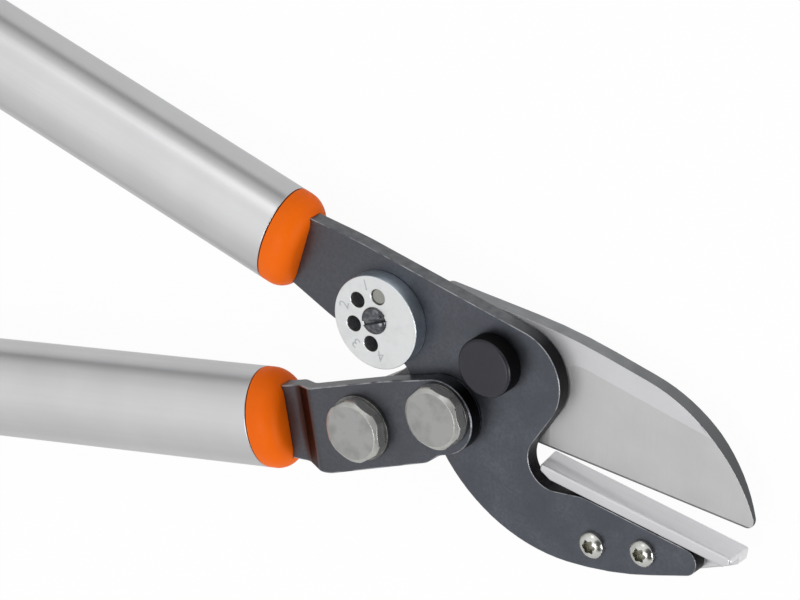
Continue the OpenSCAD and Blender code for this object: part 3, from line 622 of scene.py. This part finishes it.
def stand_for(piece, node):
    """The piece takes a node's place on its body."""
    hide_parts(node)
    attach(piece, frame["nodes"][node].parent.name.split(":")[1])


def eased_copy(node, slot, width_mm, face, side=None, edge=None, **settings):
    """An eased copy of a node: one finish for all, or others for its upright sides and its edges."""
    names = [name for name in (face, side, edge) if name]
    shape = merged(node)
    for patch in shape.faces:
        patch.material_index = 1 if side and abs(patch.normal.z) < UPRIGHT else 0
    piece = to_object(node + "_piece", shape, [finishes[name] for name in names])
    ease(piece, width_mm, finish_index=len(names) - 1 if edge else -1, **settings)
    stand_for(piece, node)
    return piece


print("copy helpers ready")

# %% [markdown]
# ## Plates, anvil, disc and collars
# The plates have one finish for their faces, one for their sides, which carries painted shade towards the
# jaw, and one for their worn edges, and the bend in the lever gets a painted shade with a painted red
# reflection. The anvil's front corner is cut off at its right end with a turned block, its upright sides get
# painted light, and the faces about the cut are shaded flat, which keeps it crisp. The hole walls of the stop
# disc are duller and darker than its rim, a painted shade. The faces could be picked by hand, but slope and
# place still find them when the shape changes.

# %% Plates
BEND_SLOPE = (0.4, 0.97)
BEND_AREA = 20 * MM * MM
# the sides carry painted shade towards the jaw
hook_plate = eased_copy("hook_plate", "plate_steel", 0.22, "plate", "side", "worn")
lever_plate = eased_copy("lever_plate", "plate_steel", 0.4, "plate", "lever_side", "worn", segments=4)
lever_plate.data.materials.append(finishes["bend"])
# the bend's faces, found by slope, get the painted shade
bent = [
    patch for patch in lever_plate.data.polygons
    if BEND_SLOPE[0] < patch.normal.z < BEND_SLOPE[1] and patch.area > BEND_AREA
]
for patch in bent:
    patch.material_index = len(lever_plate.data.materials) - 1
print("plates with", len(hook_plate.data.polygons), "and", len(lever_plate.data.polygons), "faces")
print("bent faces on the lever:", len(bent))

# %% Anvil
ANVIL_CUT = ((88.3, -38.25, 16.52), -49.6, (8, 8, 8))
FLAT_FROM = 83 * MM
# the anvil's upright sides get the painted light
anvil = eased_copy("anvil", "anvil_aluminium", 0.8, "anvil", "anvil_side", segments=4)
worked(anvil, block(*ANVIL_CUT, "anvil"), "DIFFERENCE")
for patch in anvil.data.polygons:
    patch.use_smooth = patch.center.x < FLAT_FROM
flat_faced(anvil)
print("anvil with", len(anvil.data.polygons), "faces")

# %% Stop disc, cap and collars
DISC_R = 15
DISC_RIM = 1
stop_disc = eased_copy("stop_disc", "disc_zinc", 0.3, "disc", "disc_side")
# the hole walls get the darker finish: painted shade
stop_disc.data.materials.append(finishes["hole"])
disc_middle = Vector(middle_and_top(stop_disc)[0])
for patch in stop_disc.data.polygons:
    off_middle = (patch.center.xy / MM - disc_middle).length
    if off_middle < DISC_R - DISC_RIM and abs(patch.normal.z) < UPRIGHT:
        patch.material_index = len(stop_disc.data.materials) - 1
# the cap's side gets the painted shade
eased_copy("pivot_cap", "cap_black", 0.35, "black_cap", "cap_side")
for collar in ("upper_collar", "lower_collar"):
    eased_copy(collar, "collar_orange", 0.25, "orange", angle=40)
print("stop disc with", len(stop_disc.data.polygons), "faces")

# %% [markdown]
# ## Washers and small pieces
# Nuts, washers, pins, bushes and shims need nothing but eased edges and a finish. Each could be a line of
# code, but a table of names, widths and finishes with one loop is easier to read and to change.

# %% Washers and small pieces
SMALL_PIECES = (
    ("bolt_steel", "bolt", 0.4, ("pivot_bolt",)),
    ("bolt_steel", "bolt", 0.28, ("pivot_nut", "drive_nut")),
    ("washer_steel", "washer", 0.15, ("fulcrum_washer", "drive_washer", "pivot_washer", "drive_rear_washer")),
    ("pin_steel", "pin", 0.35, ("stop_pin",)),
    ("washer_steel", "washer", 0.1, ("drive_spacer",)),
    ("pin_steel", "pin", 0.2, ("drive_roller",)),
    ("pin_steel", "pin", 0.3, ("upper_tang_pins", "lower_tang_pins")),
    ("bush_bronze", "bronze", 0.1, ("lever_bush", "blade_bush")),
    ("washer_steel", "washer", 0.04, ("lever_shim", "blade_shim")),
)
for slot, finish, width, nodes in SMALL_PIECES:
    for node in nodes:
        eased_copy(node, slot, width, finish)
    print("eased to", width, "mm:", *nodes)

# %% [markdown]
# ## Hexagon bolts
# The corners of these hexagon heads are turned off nearly to a round, with a sloping rim about the face. A
# turned blank is spun from its profile, and a Boolean modifier keeps only what lies in both blank and bolt.
# The rim's faces, which neither lie flat nor stand upright, get a brighter finish as a painted highlight.
# Moving the corner points of the CAD bolt would be shorter, but it would bend the flats.

# %% Hexagon bolts
RIM_DEPTH = 2.2
RIM_SLOPE = (0.45, 0.97)
BLANK_PROFILE = ((0, -40), (10.1, -40), (10.1, -1.3), (9.85, -0.85), (8.6, 0), (0, 0))
for bolt_node in ("fulcrum_bolt", "drive_bolt"):
    bolt = to_object(bolt_node + "_piece", merged(bolt_node), [finishes["bolt"]])
    place, top = middle_and_top(bolt)
    worked(bolt, turned("blank", place, BLANK_PROFILE, "bolt", top), "INTERSECT")
    ease(bolt, 0.14, angle=22, segments=2)
    stand_for(bolt, bolt_node)
    bolt.data.materials.clear()
    bolt.data.materials.append(finishes["bolt"])
    bolt.data.materials.append(finishes["bolt_rim"])
    # the sloping rim faces get the painted highlight
    for patch in bolt.data.polygons:
        sloping = RIM_SLOPE[0] < patch.normal.z < RIM_SLOPE[1]
        patch.material_index = 1 if sloping and patch.center.z > (top - RIM_DEPTH) * MM else 0
    print(bolt_node, len(bolt.data.polygons), "faces")

# %% [markdown]
# ## Stop screw
# The disc turns on a black screw with a crowned, slotted head. The crown comes from spinning its profile
# about the axis, and a Boolean modifier cuts the slot with a bar that is deleted afterwards. A flat head
# from the CAD copy would do, but the crown is what spreads the light into a bright and a dark half.

# %% Stop screw
STOP_PLACE = Vector((-40.4, 0.9))
STOP_PROFILE = (
    (0.0, 12.5), (2.5, 12.5), (2.5, 20.0), (4.0, 20.0), (4.0, 22.84), (4.3, 22.84), (4.3, 23.2), (4.0, 23.6),
    (3.1, 24.0), (1.7, 24.3), (0.6, 24.4), (0.0, 24.4),
)
STOP_SLOT = (12, 1.3, 3.2)
STOP_SLOT_HEIGHT = 24.0
STOP_SLOT_ANGLE = 28
stop_screw = turned("stop_screw_piece", STOP_PLACE, STOP_PROFILE, "dark_screw")
slot_bar = block((*STOP_PLACE, STOP_SLOT_HEIGHT), STOP_SLOT_ANGLE, STOP_SLOT, "dark_screw")
worked(stop_screw, slot_bar, "DIFFERENCE")
ease(stop_screw, 0.12, angle=35, segments=2)
stand_for(stop_screw, "stop_screw")
print("stop screw", len(stop_screw.data.polygons), "faces")

# %% [markdown]
# ## Blade
# The blade is one flat piece of steel. Its ground bevel is not parallel to the edge: it widens towards the
# handle and starts in a round where the grinding wheel came in. The CAD blade has a plain parallel bevel,
# so the copy is flattened first and cut in many strips. Each strip is cut along the real bevel line, and
# then every point below the line moves in towards the middle by its share of the way to the edge. A boolean
# could cut a tilted bevel as well, but a twisted one only comes from moving points.

# %% Blade sizes
BLADE_MIDDLE = 9.7 * MM
BLADE_HALF = 2.5 * MM
EDGE_HALF = 0.2 * MM
EDGE_Y = -25.4 * MM
HONED_HALF = 0.46 * MM
HONED_Y = EDGE_Y + 0.8 * MM
BEVEL_START = 8 * MM
BEVEL_LINE = [
    Vector(spot) * MM for spot in (
        (-100, -5), (17, -5), (18.2, -1), (20, 2.6), (22, 4.7), (24.5, 6), (27, 6.3), (30, 6), (72, 0.2),
        (100, -3.6),
    )
]
STRIP = 3
STRIPS = range(-16, 32)
CUTS = [BEVEL_START] + [spot.x for spot in BEVEL_LINE[1:-1]] + [strip * STRIP * MM for strip in STRIPS]
CUT_WITHIN = 0.0005 * MM
ON_LINE = 0.01 * MM
STANDING = 0.5
BLADE_FINISHES = ("band", "bevel", "honed", "spine")


def between(line, x):
    """Height of a line of points at a place along it."""
    for before, after in zip(line, line[1:]):
        if x <= after.x:
            share = (x - before.x) / (after.x - before.x)
            return before.y + share * (after.y - before.y)
    return line[-1].y


def half_thickness(x, y):
    """Half the blade's thickness: full above the bevel line and on the tail, and least at the edge."""
    line = between(BEVEL_LINE, x)
    if y >= line or x < BEVEL_START - ON_LINE:
        return BLADE_HALF
    if y >= HONED_Y:
        return BLADE_HALF - (BLADE_HALF - HONED_HALF) * (line - y) / (line - HONED_Y)
    return max(EDGE_HALF, HONED_HALF - (HONED_HALF - EDGE_HALF) * (HONED_Y - y) / (HONED_Y - EDGE_Y))


def cut(shape, faces, point, square):
    """Cuts some faces along a plane."""
    geometry = set(faces)
    for patch in faces:
        geometry.update(patch.edges)
        geometry.update(patch.verts)
    bmesh.ops.bisect_plane(shape, geom=list(geometry), dist=CUT_WITHIN, plane_co=point, plane_no=square)


print("bevel line of", len(BEVEL_LINE), "points")

# %% Blade piece
shape = merged("blade")
for point in shape.verts:
    point.co.z = BLADE_MIDDLE + math.copysign(BLADE_HALF, point.co.z - BLADE_MIDDLE)
sew(shape)
stations = sorted(set(CUTS))
for x in stations:
    cut(shape, shape.faces[:], Vector((x, 0, 0)), Vector((1, 0, 0)))
for start, end in zip(stations, stations[1:]):
    here = Vector((start, between(BEVEL_LINE, start), 0))
    run = Vector((end, between(BEVEL_LINE, end), 0)) - here
    strip = [
        patch for patch in shape.faces
        if abs(patch.normal.z) > STANDING and start < patch.calc_center_median().x < end
    ]
    cut(shape, strip, here, Vector((-run.y, run.x, 0)).normalized())
cut(shape, shape.faces[:], Vector((0, HONED_Y, 0)), Vector((0, 1, 0)))
for patch in shape.faces:
    spot = patch.calc_center_median()
    if abs(patch.normal.z) < STANDING:
        finish = "spine"
    elif spot.y > between(BEVEL_LINE, spot.x) or spot.x < BEVEL_START:
        finish = "band"
    else:
        finish = "bevel" if spot.y > HONED_Y else "honed"
    patch.material_index = BLADE_FINISHES.index(finish)
for edge in shape.edges:
    off_line = [abs(end.co.y - between(BEVEL_LINE, end.co.x)) for end in edge.verts]
    edge.smooth = max(off_line) > ON_LINE
for point in shape.verts:
    half = half_thickness(point.co.x, point.co.y)
    point.co.z = BLADE_MIDDLE + math.copysign(half, point.co.z - BLADE_MIDDLE)
blade = to_object("blade_piece", shape, [finishes[name] for name in BLADE_FINISHES])
ease(blade, 0.12, angle=40, segments=2)
stand_for(blade, "blade")
print("blade", len(blade.data.polygons), "faces")

# %% [markdown]
# ## A Geometry Nodes kit for the handles
# Tubes, grip sleeves, ribs and seals are all the same thing: an oval wall of some length. One short piece
# of tree makes it: two ovals are filled to a flat ring, the ring is pushed out, and its first copy is
# turned over to close the start. The tree below sets that piece once, or many times along a line. The sizes
# are named inputs, so the same tree makes both handles. Each wall could be a mesh of its own, but then a
# change of size would come many times.

# %% Tree helpers
def new_tree(name, inputs):
    """A geometry tree with named inputs; returns it with its input and output nodes."""
    tree = bpy.data.node_groups.new(name, "GeometryNodeTree")
    for label, kind in inputs:
        tree.interface.new_socket(label, in_out="INPUT", socket_type=kind)
    tree.interface.new_socket("Geometry", in_out="OUTPUT", socket_type="NodeSocketGeometry")
    return tree, tree.nodes.new("NodeGroupInput"), tree.nodes.new("NodeGroupOutput")


def end_tree(tree, last, material, exit_node):
    """Every tree ends by making its copies real and giving them their finish."""
    real = put(tree, "GeometryNodeRealizeInstances", {"Geometry": last})
    dressed = put(tree, "GeometryNodeSetMaterial", {"Geometry": real.outputs[0], "Material": material})
    tree.links.new(dressed.outputs[0], exit_node.inputs[0])


def grown(tree, name, sizes, points=()):
    """Runs a tree on a host with the given points, and returns the plain mesh."""
    seed_mesh = bpy.data.meshes.new(name + "_points")
    seed_mesh.from_pydata(points, [], [])
    host = bpy.data.objects.new(name + "_host", seed_mesh)
    scene.collection.objects.link(host)
    modifier = host.modifiers.new("tree", "NODES")
    modifier.node_group = tree
    for item in tree.interface.items_tree:
        if item.in_out == "INPUT" and item.name in sizes:
            modifier[item.identifier] = sizes[item.name]
    mesh = plain_mesh(host)
    mesh.name = name
    bpy.data.objects.remove(host)
    return mesh


FLOAT = "NodeSocketFloat"
COUNT = "NodeSocketInt"
PAINT = "NodeSocketMaterial"
print("tree helpers ready")

# %% Oval wall
OVAL_POINTS = 144
SEAM_WITHIN = 0.001 * MM
QUARTER = math.pi / 2


def oval_wall(tree, width, height, wall, length):
    """A closed oval tube along X, from sockets that give its sizes."""
    double = put(tree, "ShaderNodeMath", {0: wall, 1: 2.0}, operation="MULTIPLY").outputs[0]
    rims = []
    for bore in (False, True):
        across = []
        for size in (width, height):
            if bore:
                size = put(tree, "ShaderNodeMath", {0: size, 1: double}, operation="SUBTRACT").outputs[0]
            across.append(size)
        circle = put(tree, "GeometryNodeCurvePrimitiveCircle", {"Resolution": OVAL_POINTS, "Radius": 0.5})
        spread = put(tree, "ShaderNodeCombineXYZ", {"X": across[0], "Y": across[1], "Z": 1.0})
        oval = put(tree, "GeometryNodeTransform", {"Geometry": circle.outputs[0], "Scale": spread.outputs[0]})
        rims.append(oval.outputs[0])
    both_rims = put(tree, "GeometryNodeJoinGeometry", {"Geometry": rims})
    ring = put(tree, "GeometryNodeFillCurve", {"Curve": both_rims.outputs[0]}, mode="TRIANGLES")
    pushed = put(tree, "GeometryNodeExtrudeMesh", {
        "Mesh": ring.outputs[0], "Offset Scale": length, "Individual": False,
    }, mode="FACES")
    start = put(tree, "GeometryNodeFlipFaces", {"Mesh": ring.outputs[0]})
    closed = put(tree, "GeometryNodeJoinGeometry", {"Geometry": [pushed.outputs[0], start.outputs[0]]})
    sewn = put(tree, "GeometryNodeMergeByDistance", {"Geometry": closed.outputs[0], "Distance": SEAM_WITHIN})
    along_x = (QUARTER, 0, QUARTER)
    return put(tree, "GeometryNodeTransform", {"Geometry": sewn.outputs[0], "Rotation": along_x}).outputs[0]


WALL_SIZES = (("Width", FLOAT), ("Height", FLOAT), ("Wall", FLOAT), ("Length", FLOAT))
wall_tree, given, result = new_tree(
    "oval_walls", (*WALL_SIZES, ("Start", FLOAT), ("Step", FLOAT), ("Count", COUNT), ("Finish", PAINT))
)
one_wall = oval_wall(wall_tree, *(given.outputs[label] for label, kind in WALL_SIZES))
first = put(wall_tree, "ShaderNodeCombineXYZ", {"X": given.outputs["Start"]})
step = put(wall_tree, "ShaderNodeCombineXYZ", {"X": given.outputs["Step"]})
row = put(wall_tree, "GeometryNodeMeshLine", {
    "Count": given.outputs["Count"], "Start Location": first.outputs[0], "Offset": step.outputs[0],
})
placed = put(wall_tree, "GeometryNodeInstanceOnPoints", {"Points": row.outputs[0], "Instance": one_wall})
end_tree(wall_tree, placed.outputs[0], given.outputs["Finish"], result)
print("oval wall tree with", len(wall_tree.nodes), "nodes")

# %% [markdown]
# ## Handles
# Each handle is built along X from the face of its collar and then turned into place. Between collar and
# tube lies a dark seal, a little below the surface, which draws the fine parting line. The grip is a sleeve
# with two plain lips and a row of ribs, all from the same tree; the ribs' edges are rounded, as moulded
# rubber has to be. Eased copies of the CAD's handles would do too, but these walls are smoother and keep
# the seal's gap open.

# %% Handle places
COLLAR_LEN = 9.4
TUBE_END = 641
TUBE = (32.5, 24)
TUBE_WALL = 2
GRIP = (38, 30)
GRIP_START = 491
GRIP_LIP = 9
RIB_RISE = 1
RIB_WIDTH = 5
RIBS = 11
SEAL = 0.35
SEAL_SINK = 0.25
SEAL_WALL = 1.5
SLEEVE_GAP = 0.02
SLEEVE_INSET = 1
HANDLE_HEIGHT = 15
FULCRUM = Vector((-13.6, -20.6))
HANDLES = {
    "upper": (Vector((0, 0)), UPPER_ANGLE, 72.3, -3.55, "root"),
    "lower": (FULCRUM, LOWER_ANGLE, 63.6, -10.8, "lever"),
}


def handle_place(handle):
    """Where a handle's collar face is, with X outwards: from its pivot along the handle, then across."""
    pivot, angle, reach, off = HANDLES[handle][:4]
    along = heading(angle)
    spot = pivot + reach * along + off * Vector((along.y, -along.x))
    place = Matrix.Translation((spot.x * MM, spot.y * MM, HANDLE_HEIGHT * MM))
    return place @ Matrix.Rotation(math.radians(angle), 4, "Z")


def oval_row(name, size, wall, start, length, finish, step=0.0, count=1):
    """Oval walls in a row, in millimetres along a handle."""
    return grown(wall_tree, name, {
        "Width": size[0] * MM, "Height": size[1] * MM, "Wall": wall * MM, "Length": length * MM,
        "Start": start * MM, "Step": step * MM, "Count": count, "Finish": finish,
    })


def joined(name, meshes, place, materials):
    """One object from several meshes, put in its place."""
    shape = bmesh.new()
    for mesh in meshes:
        shape.from_mesh(mesh)
    shape.transform(place)
    return to_object(name, shape, materials)


print("handles:", list(HANDLES))

# %% Tubes and seals
for handle in HANDLES:
    body = HANDLES[handle][-1]
    finish = finishes[handle + "_tube"]
    tube_start = COLLAR_LEN + SEAL
    mesh = oval_row("tube", TUBE, TUBE_WALL, tube_start, TUBE_END - tube_start, finish)
    tube = joined(handle + "_tube_piece", [mesh], handle_place(handle), [finish])
    ease(tube, 0.25, angle=50)
    stand_for(tube, handle + "_tube")
    seal_size = [size - 2 * SEAL_SINK for size in TUBE]
    mesh = oval_row("seal", seal_size, SEAL_WALL, COLLAR_LEN, SEAL, finishes["seam"])
    seal = joined(handle + "_seal", [mesh], handle_place(handle), [finishes["seam"]])
    seal.data.shade_smooth()
    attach(seal, body)
    print(handle, "tube with", len(tube.data.polygons), "faces")

# %% Grips and end caps
for handle in HANDLES:
    sleeve = [size - 2 * RIB_RISE for size in GRIP]
    wall = (sleeve[0] - TUBE[0]) / 2 - SLEEVE_GAP
    length = TUBE_END - GRIP_START
    rib_step = (length - 2 * GRIP_LIP - RIB_WIDTH) / (RIBS + 1)
    rubber = finishes["rubber"]
    meshes = [
        oval_row("sleeve", sleeve, wall, GRIP_START + SLEEVE_INSET, length - 2 * SLEEVE_INSET, rubber),
        oval_row("lips", GRIP, wall + RIB_RISE, GRIP_START, GRIP_LIP, rubber, length - GRIP_LIP, 2),
        oval_row("ribs", GRIP, wall, GRIP_START + GRIP_LIP + rib_step, RIB_WIDTH, rubber, rib_step, RIBS),
    ]
    grip = joined(handle + "_grip_piece", meshes, handle_place(handle), [rubber])
    ease(grip, 0.7, angle=50, segments=4)
    stand_for(grip, handle + "_grip")
    eased_copy(handle + "_cap", "collar_orange", 0.4, "orange", angle=40)
    print(handle, "grip with", len(grip.data.polygons), "faces")

# %% [markdown]
# ## Anvil screws
# Two pan head screws with a six-lobed recess hold the anvil. A tree makes the head from a flattened ball
# and a round blank, fills and pushes a rounded star for the recess, cuts it out with a boolean, and sets
# the screw on two points. The faces of the recess then get a dark brownish finish, a painted shade. A screw
# could be modelled by hand and copied, but the tree keeps the two alike and turns each one a little
# differently.

# %% Screw sizes
SCREW_HEAD = 8.4
SCREW_RISE = 2.8
SCREW_SPOTS = ((40.408, -46.389), (57.800, -42.171))
PLATE_FRONT = 17.5
SCREW_LENGTH = 10.5
SCREW_SHANK = 5
RECESS = 5.3
RECESS_REACH = 2.9
RECESS_FLOOR = 18.7
RECESS_STEEP = 0.5
DOME_SPREAD = 1.09
BLANK_SHARE = 0.94
STAR_INNER = 0.31
STAR_OUTER = 0.54
STAR_ROUND = 0.12
STAR_LIFT = 0.36
SPIN_SEED = 4
print("screws at", SCREW_SPOTS)

# %% Screw head
screw_tree, given, result = new_tree("pan_screws", (
    ("Geometry", "NodeSocketGeometry"), ("Head", FLOAT), ("Rise", FLOAT), ("Recess", FLOAT),
    ("Length", FLOAT), ("Shank", FLOAT), ("Finish", PAINT),
))


def scaled(value, by):
    return put(screw_tree, "ShaderNodeMath", {0: value, 1: by}, operation="MULTIPLY").outputs[0]


def raised(mesh, height):
    """A mesh moved up by a height."""
    lift = put(screw_tree, "ShaderNodeCombineXYZ", {"Z": height})
    moved = put(screw_tree, "GeometryNodeTransform", {"Geometry": mesh, "Translation": lift.outputs[0]})
    return moved.outputs[0]


rise = given.outputs["Rise"]
recess = given.outputs["Recess"]
half_head = scaled(given.outputs["Head"], 0.5)
dome_half = scaled(half_head, DOME_SPREAD)
dome = put(screw_tree, "GeometryNodeMeshUVSphere", {"Segments": 64, "Rings": 48, "Radius": 1.0})
flattened = put(screw_tree, "ShaderNodeCombineXYZ", {"X": dome_half, "Y": dome_half, "Z": rise})
dome_sized = put(screw_tree, "GeometryNodeTransform", {
    "Geometry": dome.outputs[0], "Scale": flattened.outputs[0],
})
blank = put(screw_tree, "GeometryNodeMeshCylinder", {
    "Vertices": 64, "Radius": half_head, "Depth": scaled(rise, BLANK_SHARE),
})
blank_up = raised(blank.outputs["Mesh"], scaled(rise, BLANK_SHARE / 2))
head = put(screw_tree, "GeometryNodeMeshBoolean", {
    "Mesh 2": [dome_sized.outputs[0], blank_up],
}, operation="INTERSECT", solver="EXACT")
print("head with", len(screw_tree.nodes), "nodes")

# %% Screw recess
star = put(screw_tree, "GeometryNodeCurveStar", {
    "Points": 6, "Inner Radius": scaled(recess, STAR_INNER), "Outer Radius": scaled(recess, STAR_OUTER),
})
lobed = put(screw_tree, "GeometryNodeFilletCurve", {
    "Curve": star.outputs["Curve"], "Count": 5, "Radius": scaled(recess, STAR_ROUND), "Limit Radius": True,
}, mode="POLY")
star_face = put(screw_tree, "GeometryNodeFillCurve", {"Curve": lobed.outputs[0]}, mode="NGONS")
star_deep = put(screw_tree, "GeometryNodeExtrudeMesh", {
    "Mesh": star_face.outputs[0], "Offset Scale": rise, "Individual": False,
}, mode="FACES")
star_floor = put(screw_tree, "GeometryNodeFlipFaces", {"Mesh": star_face.outputs[0]})
star_block = put(screw_tree, "GeometryNodeJoinGeometry", {
    "Geometry": [star_deep.outputs[0], star_floor.outputs[0]],
})
star_sewn = put(screw_tree, "GeometryNodeMergeByDistance", {
    "Geometry": star_block.outputs[0], "Distance": SEAM_WITHIN,
})
recessed = put(screw_tree, "GeometryNodeMeshBoolean", {
    "Mesh 1": head.outputs["Mesh"], "Mesh 2": raised(star_sewn.outputs[0], scaled(rise, STAR_LIFT)),
}, operation="DIFFERENCE", solver="EXACT")
print("recessed head with", len(screw_tree.nodes), "nodes")

# %% Screw shank and places
shank = put(screw_tree, "GeometryNodeMeshCylinder", {
    "Vertices": 48, "Radius": scaled(given.outputs["Shank"], 0.5), "Depth": given.outputs["Length"],
})
shank_down = raised(shank.outputs["Mesh"], scaled(given.outputs["Length"], -0.5))
screw = put(screw_tree, "GeometryNodeJoinGeometry", {"Geometry": [recessed.outputs["Mesh"], shank_down]})
spin = put(screw_tree, "FunctionNodeRandomValue", {
    "Min": (0, 0, 0), "Max": (0, 0, 1), "Seed": SPIN_SEED,
}, data_type="FLOAT_VECTOR")
screws_set = put(screw_tree, "GeometryNodeInstanceOnPoints", {
    "Points": given.outputs["Geometry"], "Instance": screw.outputs[0], "Rotation": spin.outputs["Value"],
})
end_tree(screw_tree, screws_set.outputs[0], given.outputs["Finish"], result)
print("screw tree with", len(screw_tree.nodes), "nodes")

# %% Screws
spots = [(x * MM, y * MM, PLATE_FRONT * MM) for x, y in SCREW_SPOTS]
screw_mesh = grown(screw_tree, "anvil_screws", {
    "Head": SCREW_HEAD * MM, "Rise": SCREW_RISE * MM, "Recess": RECESS * MM, "Length": SCREW_LENGTH * MM,
    "Shank": SCREW_SHANK * MM, "Finish": finishes["screw"],
}, spots)
anvil_screws = joined("anvil_screws_piece", [screw_mesh], Matrix.Identity(4), [finishes["screw"]])
ease(anvil_screws, 0.12, angle=35, segments=2)
# the recess faces are darkened as painted shade
anvil_screws.data.materials.append(finishes["recess"])
for patch in anvil_screws.data.polygons:
    off_axis = min((patch.center - Vector(spot)).xy.length for spot in spots)
    in_recess = off_axis < RECESS_REACH * MM and patch.center.z > PLATE_FRONT * MM
    low_or_steep = patch.center.z < RECESS_FLOOR * MM or patch.normal.z < RECESS_STEEP
    patch.material_index = 1 if in_recess and low_or_steep else 0
stand_for(anvil_screws, "anvil_screws")
print("screws with", len(anvil_screws.data.polygons), "faces")

# %% [markdown]
# ## Setting numbers
# The stop disc can be set to four places, and a plain number stands by each. Text is made a mesh first and
# then put in its place, a hair above the disc, so it reads as etched. It could be engraved with a boolean,
# but at this size the cut would hardly show.

# %% Numbers
DISC_FRONT = 22.8
NUMBER_REACH = 11.2
NUMBER_SIZE = 5.0
NUMBER_DEPTH = 0.012
NUMBER_LIFT = 0.004
NUMBER_ANGLES = (112, 173, 239, 288)
numbers = []
for count, angle in enumerate(NUMBER_ANGLES, start=1):
    text = bpy.data.curves.new("number", "FONT")
    text.body = str(count)
    text.size = NUMBER_SIZE * MM
    text.extrude = NUMBER_DEPTH * MM
    text.align_x = "CENTER"
    text.align_y = "CENTER"
    writing = bpy.data.objects.new("number", text)
    scene.collection.objects.link(writing)
    mesh = plain_mesh(writing)
    bpy.data.objects.remove(writing)
    spot = STOP_PLACE + NUMBER_REACH * heading(angle)
    turn = Matrix.Rotation(math.radians(angle - 90), 4, "Z")
    mesh.transform(Matrix.Translation((spot.x * MM, spot.y * MM, (DISC_FRONT + NUMBER_LIFT) * MM)) @ turn)
    numbers.append(mesh)
marks = joined("setting_numbers", numbers, Matrix.Identity(4), [finishes["mark"]])
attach(marks, "root")
print("numbers", len(marks.data.polygons), "faces")
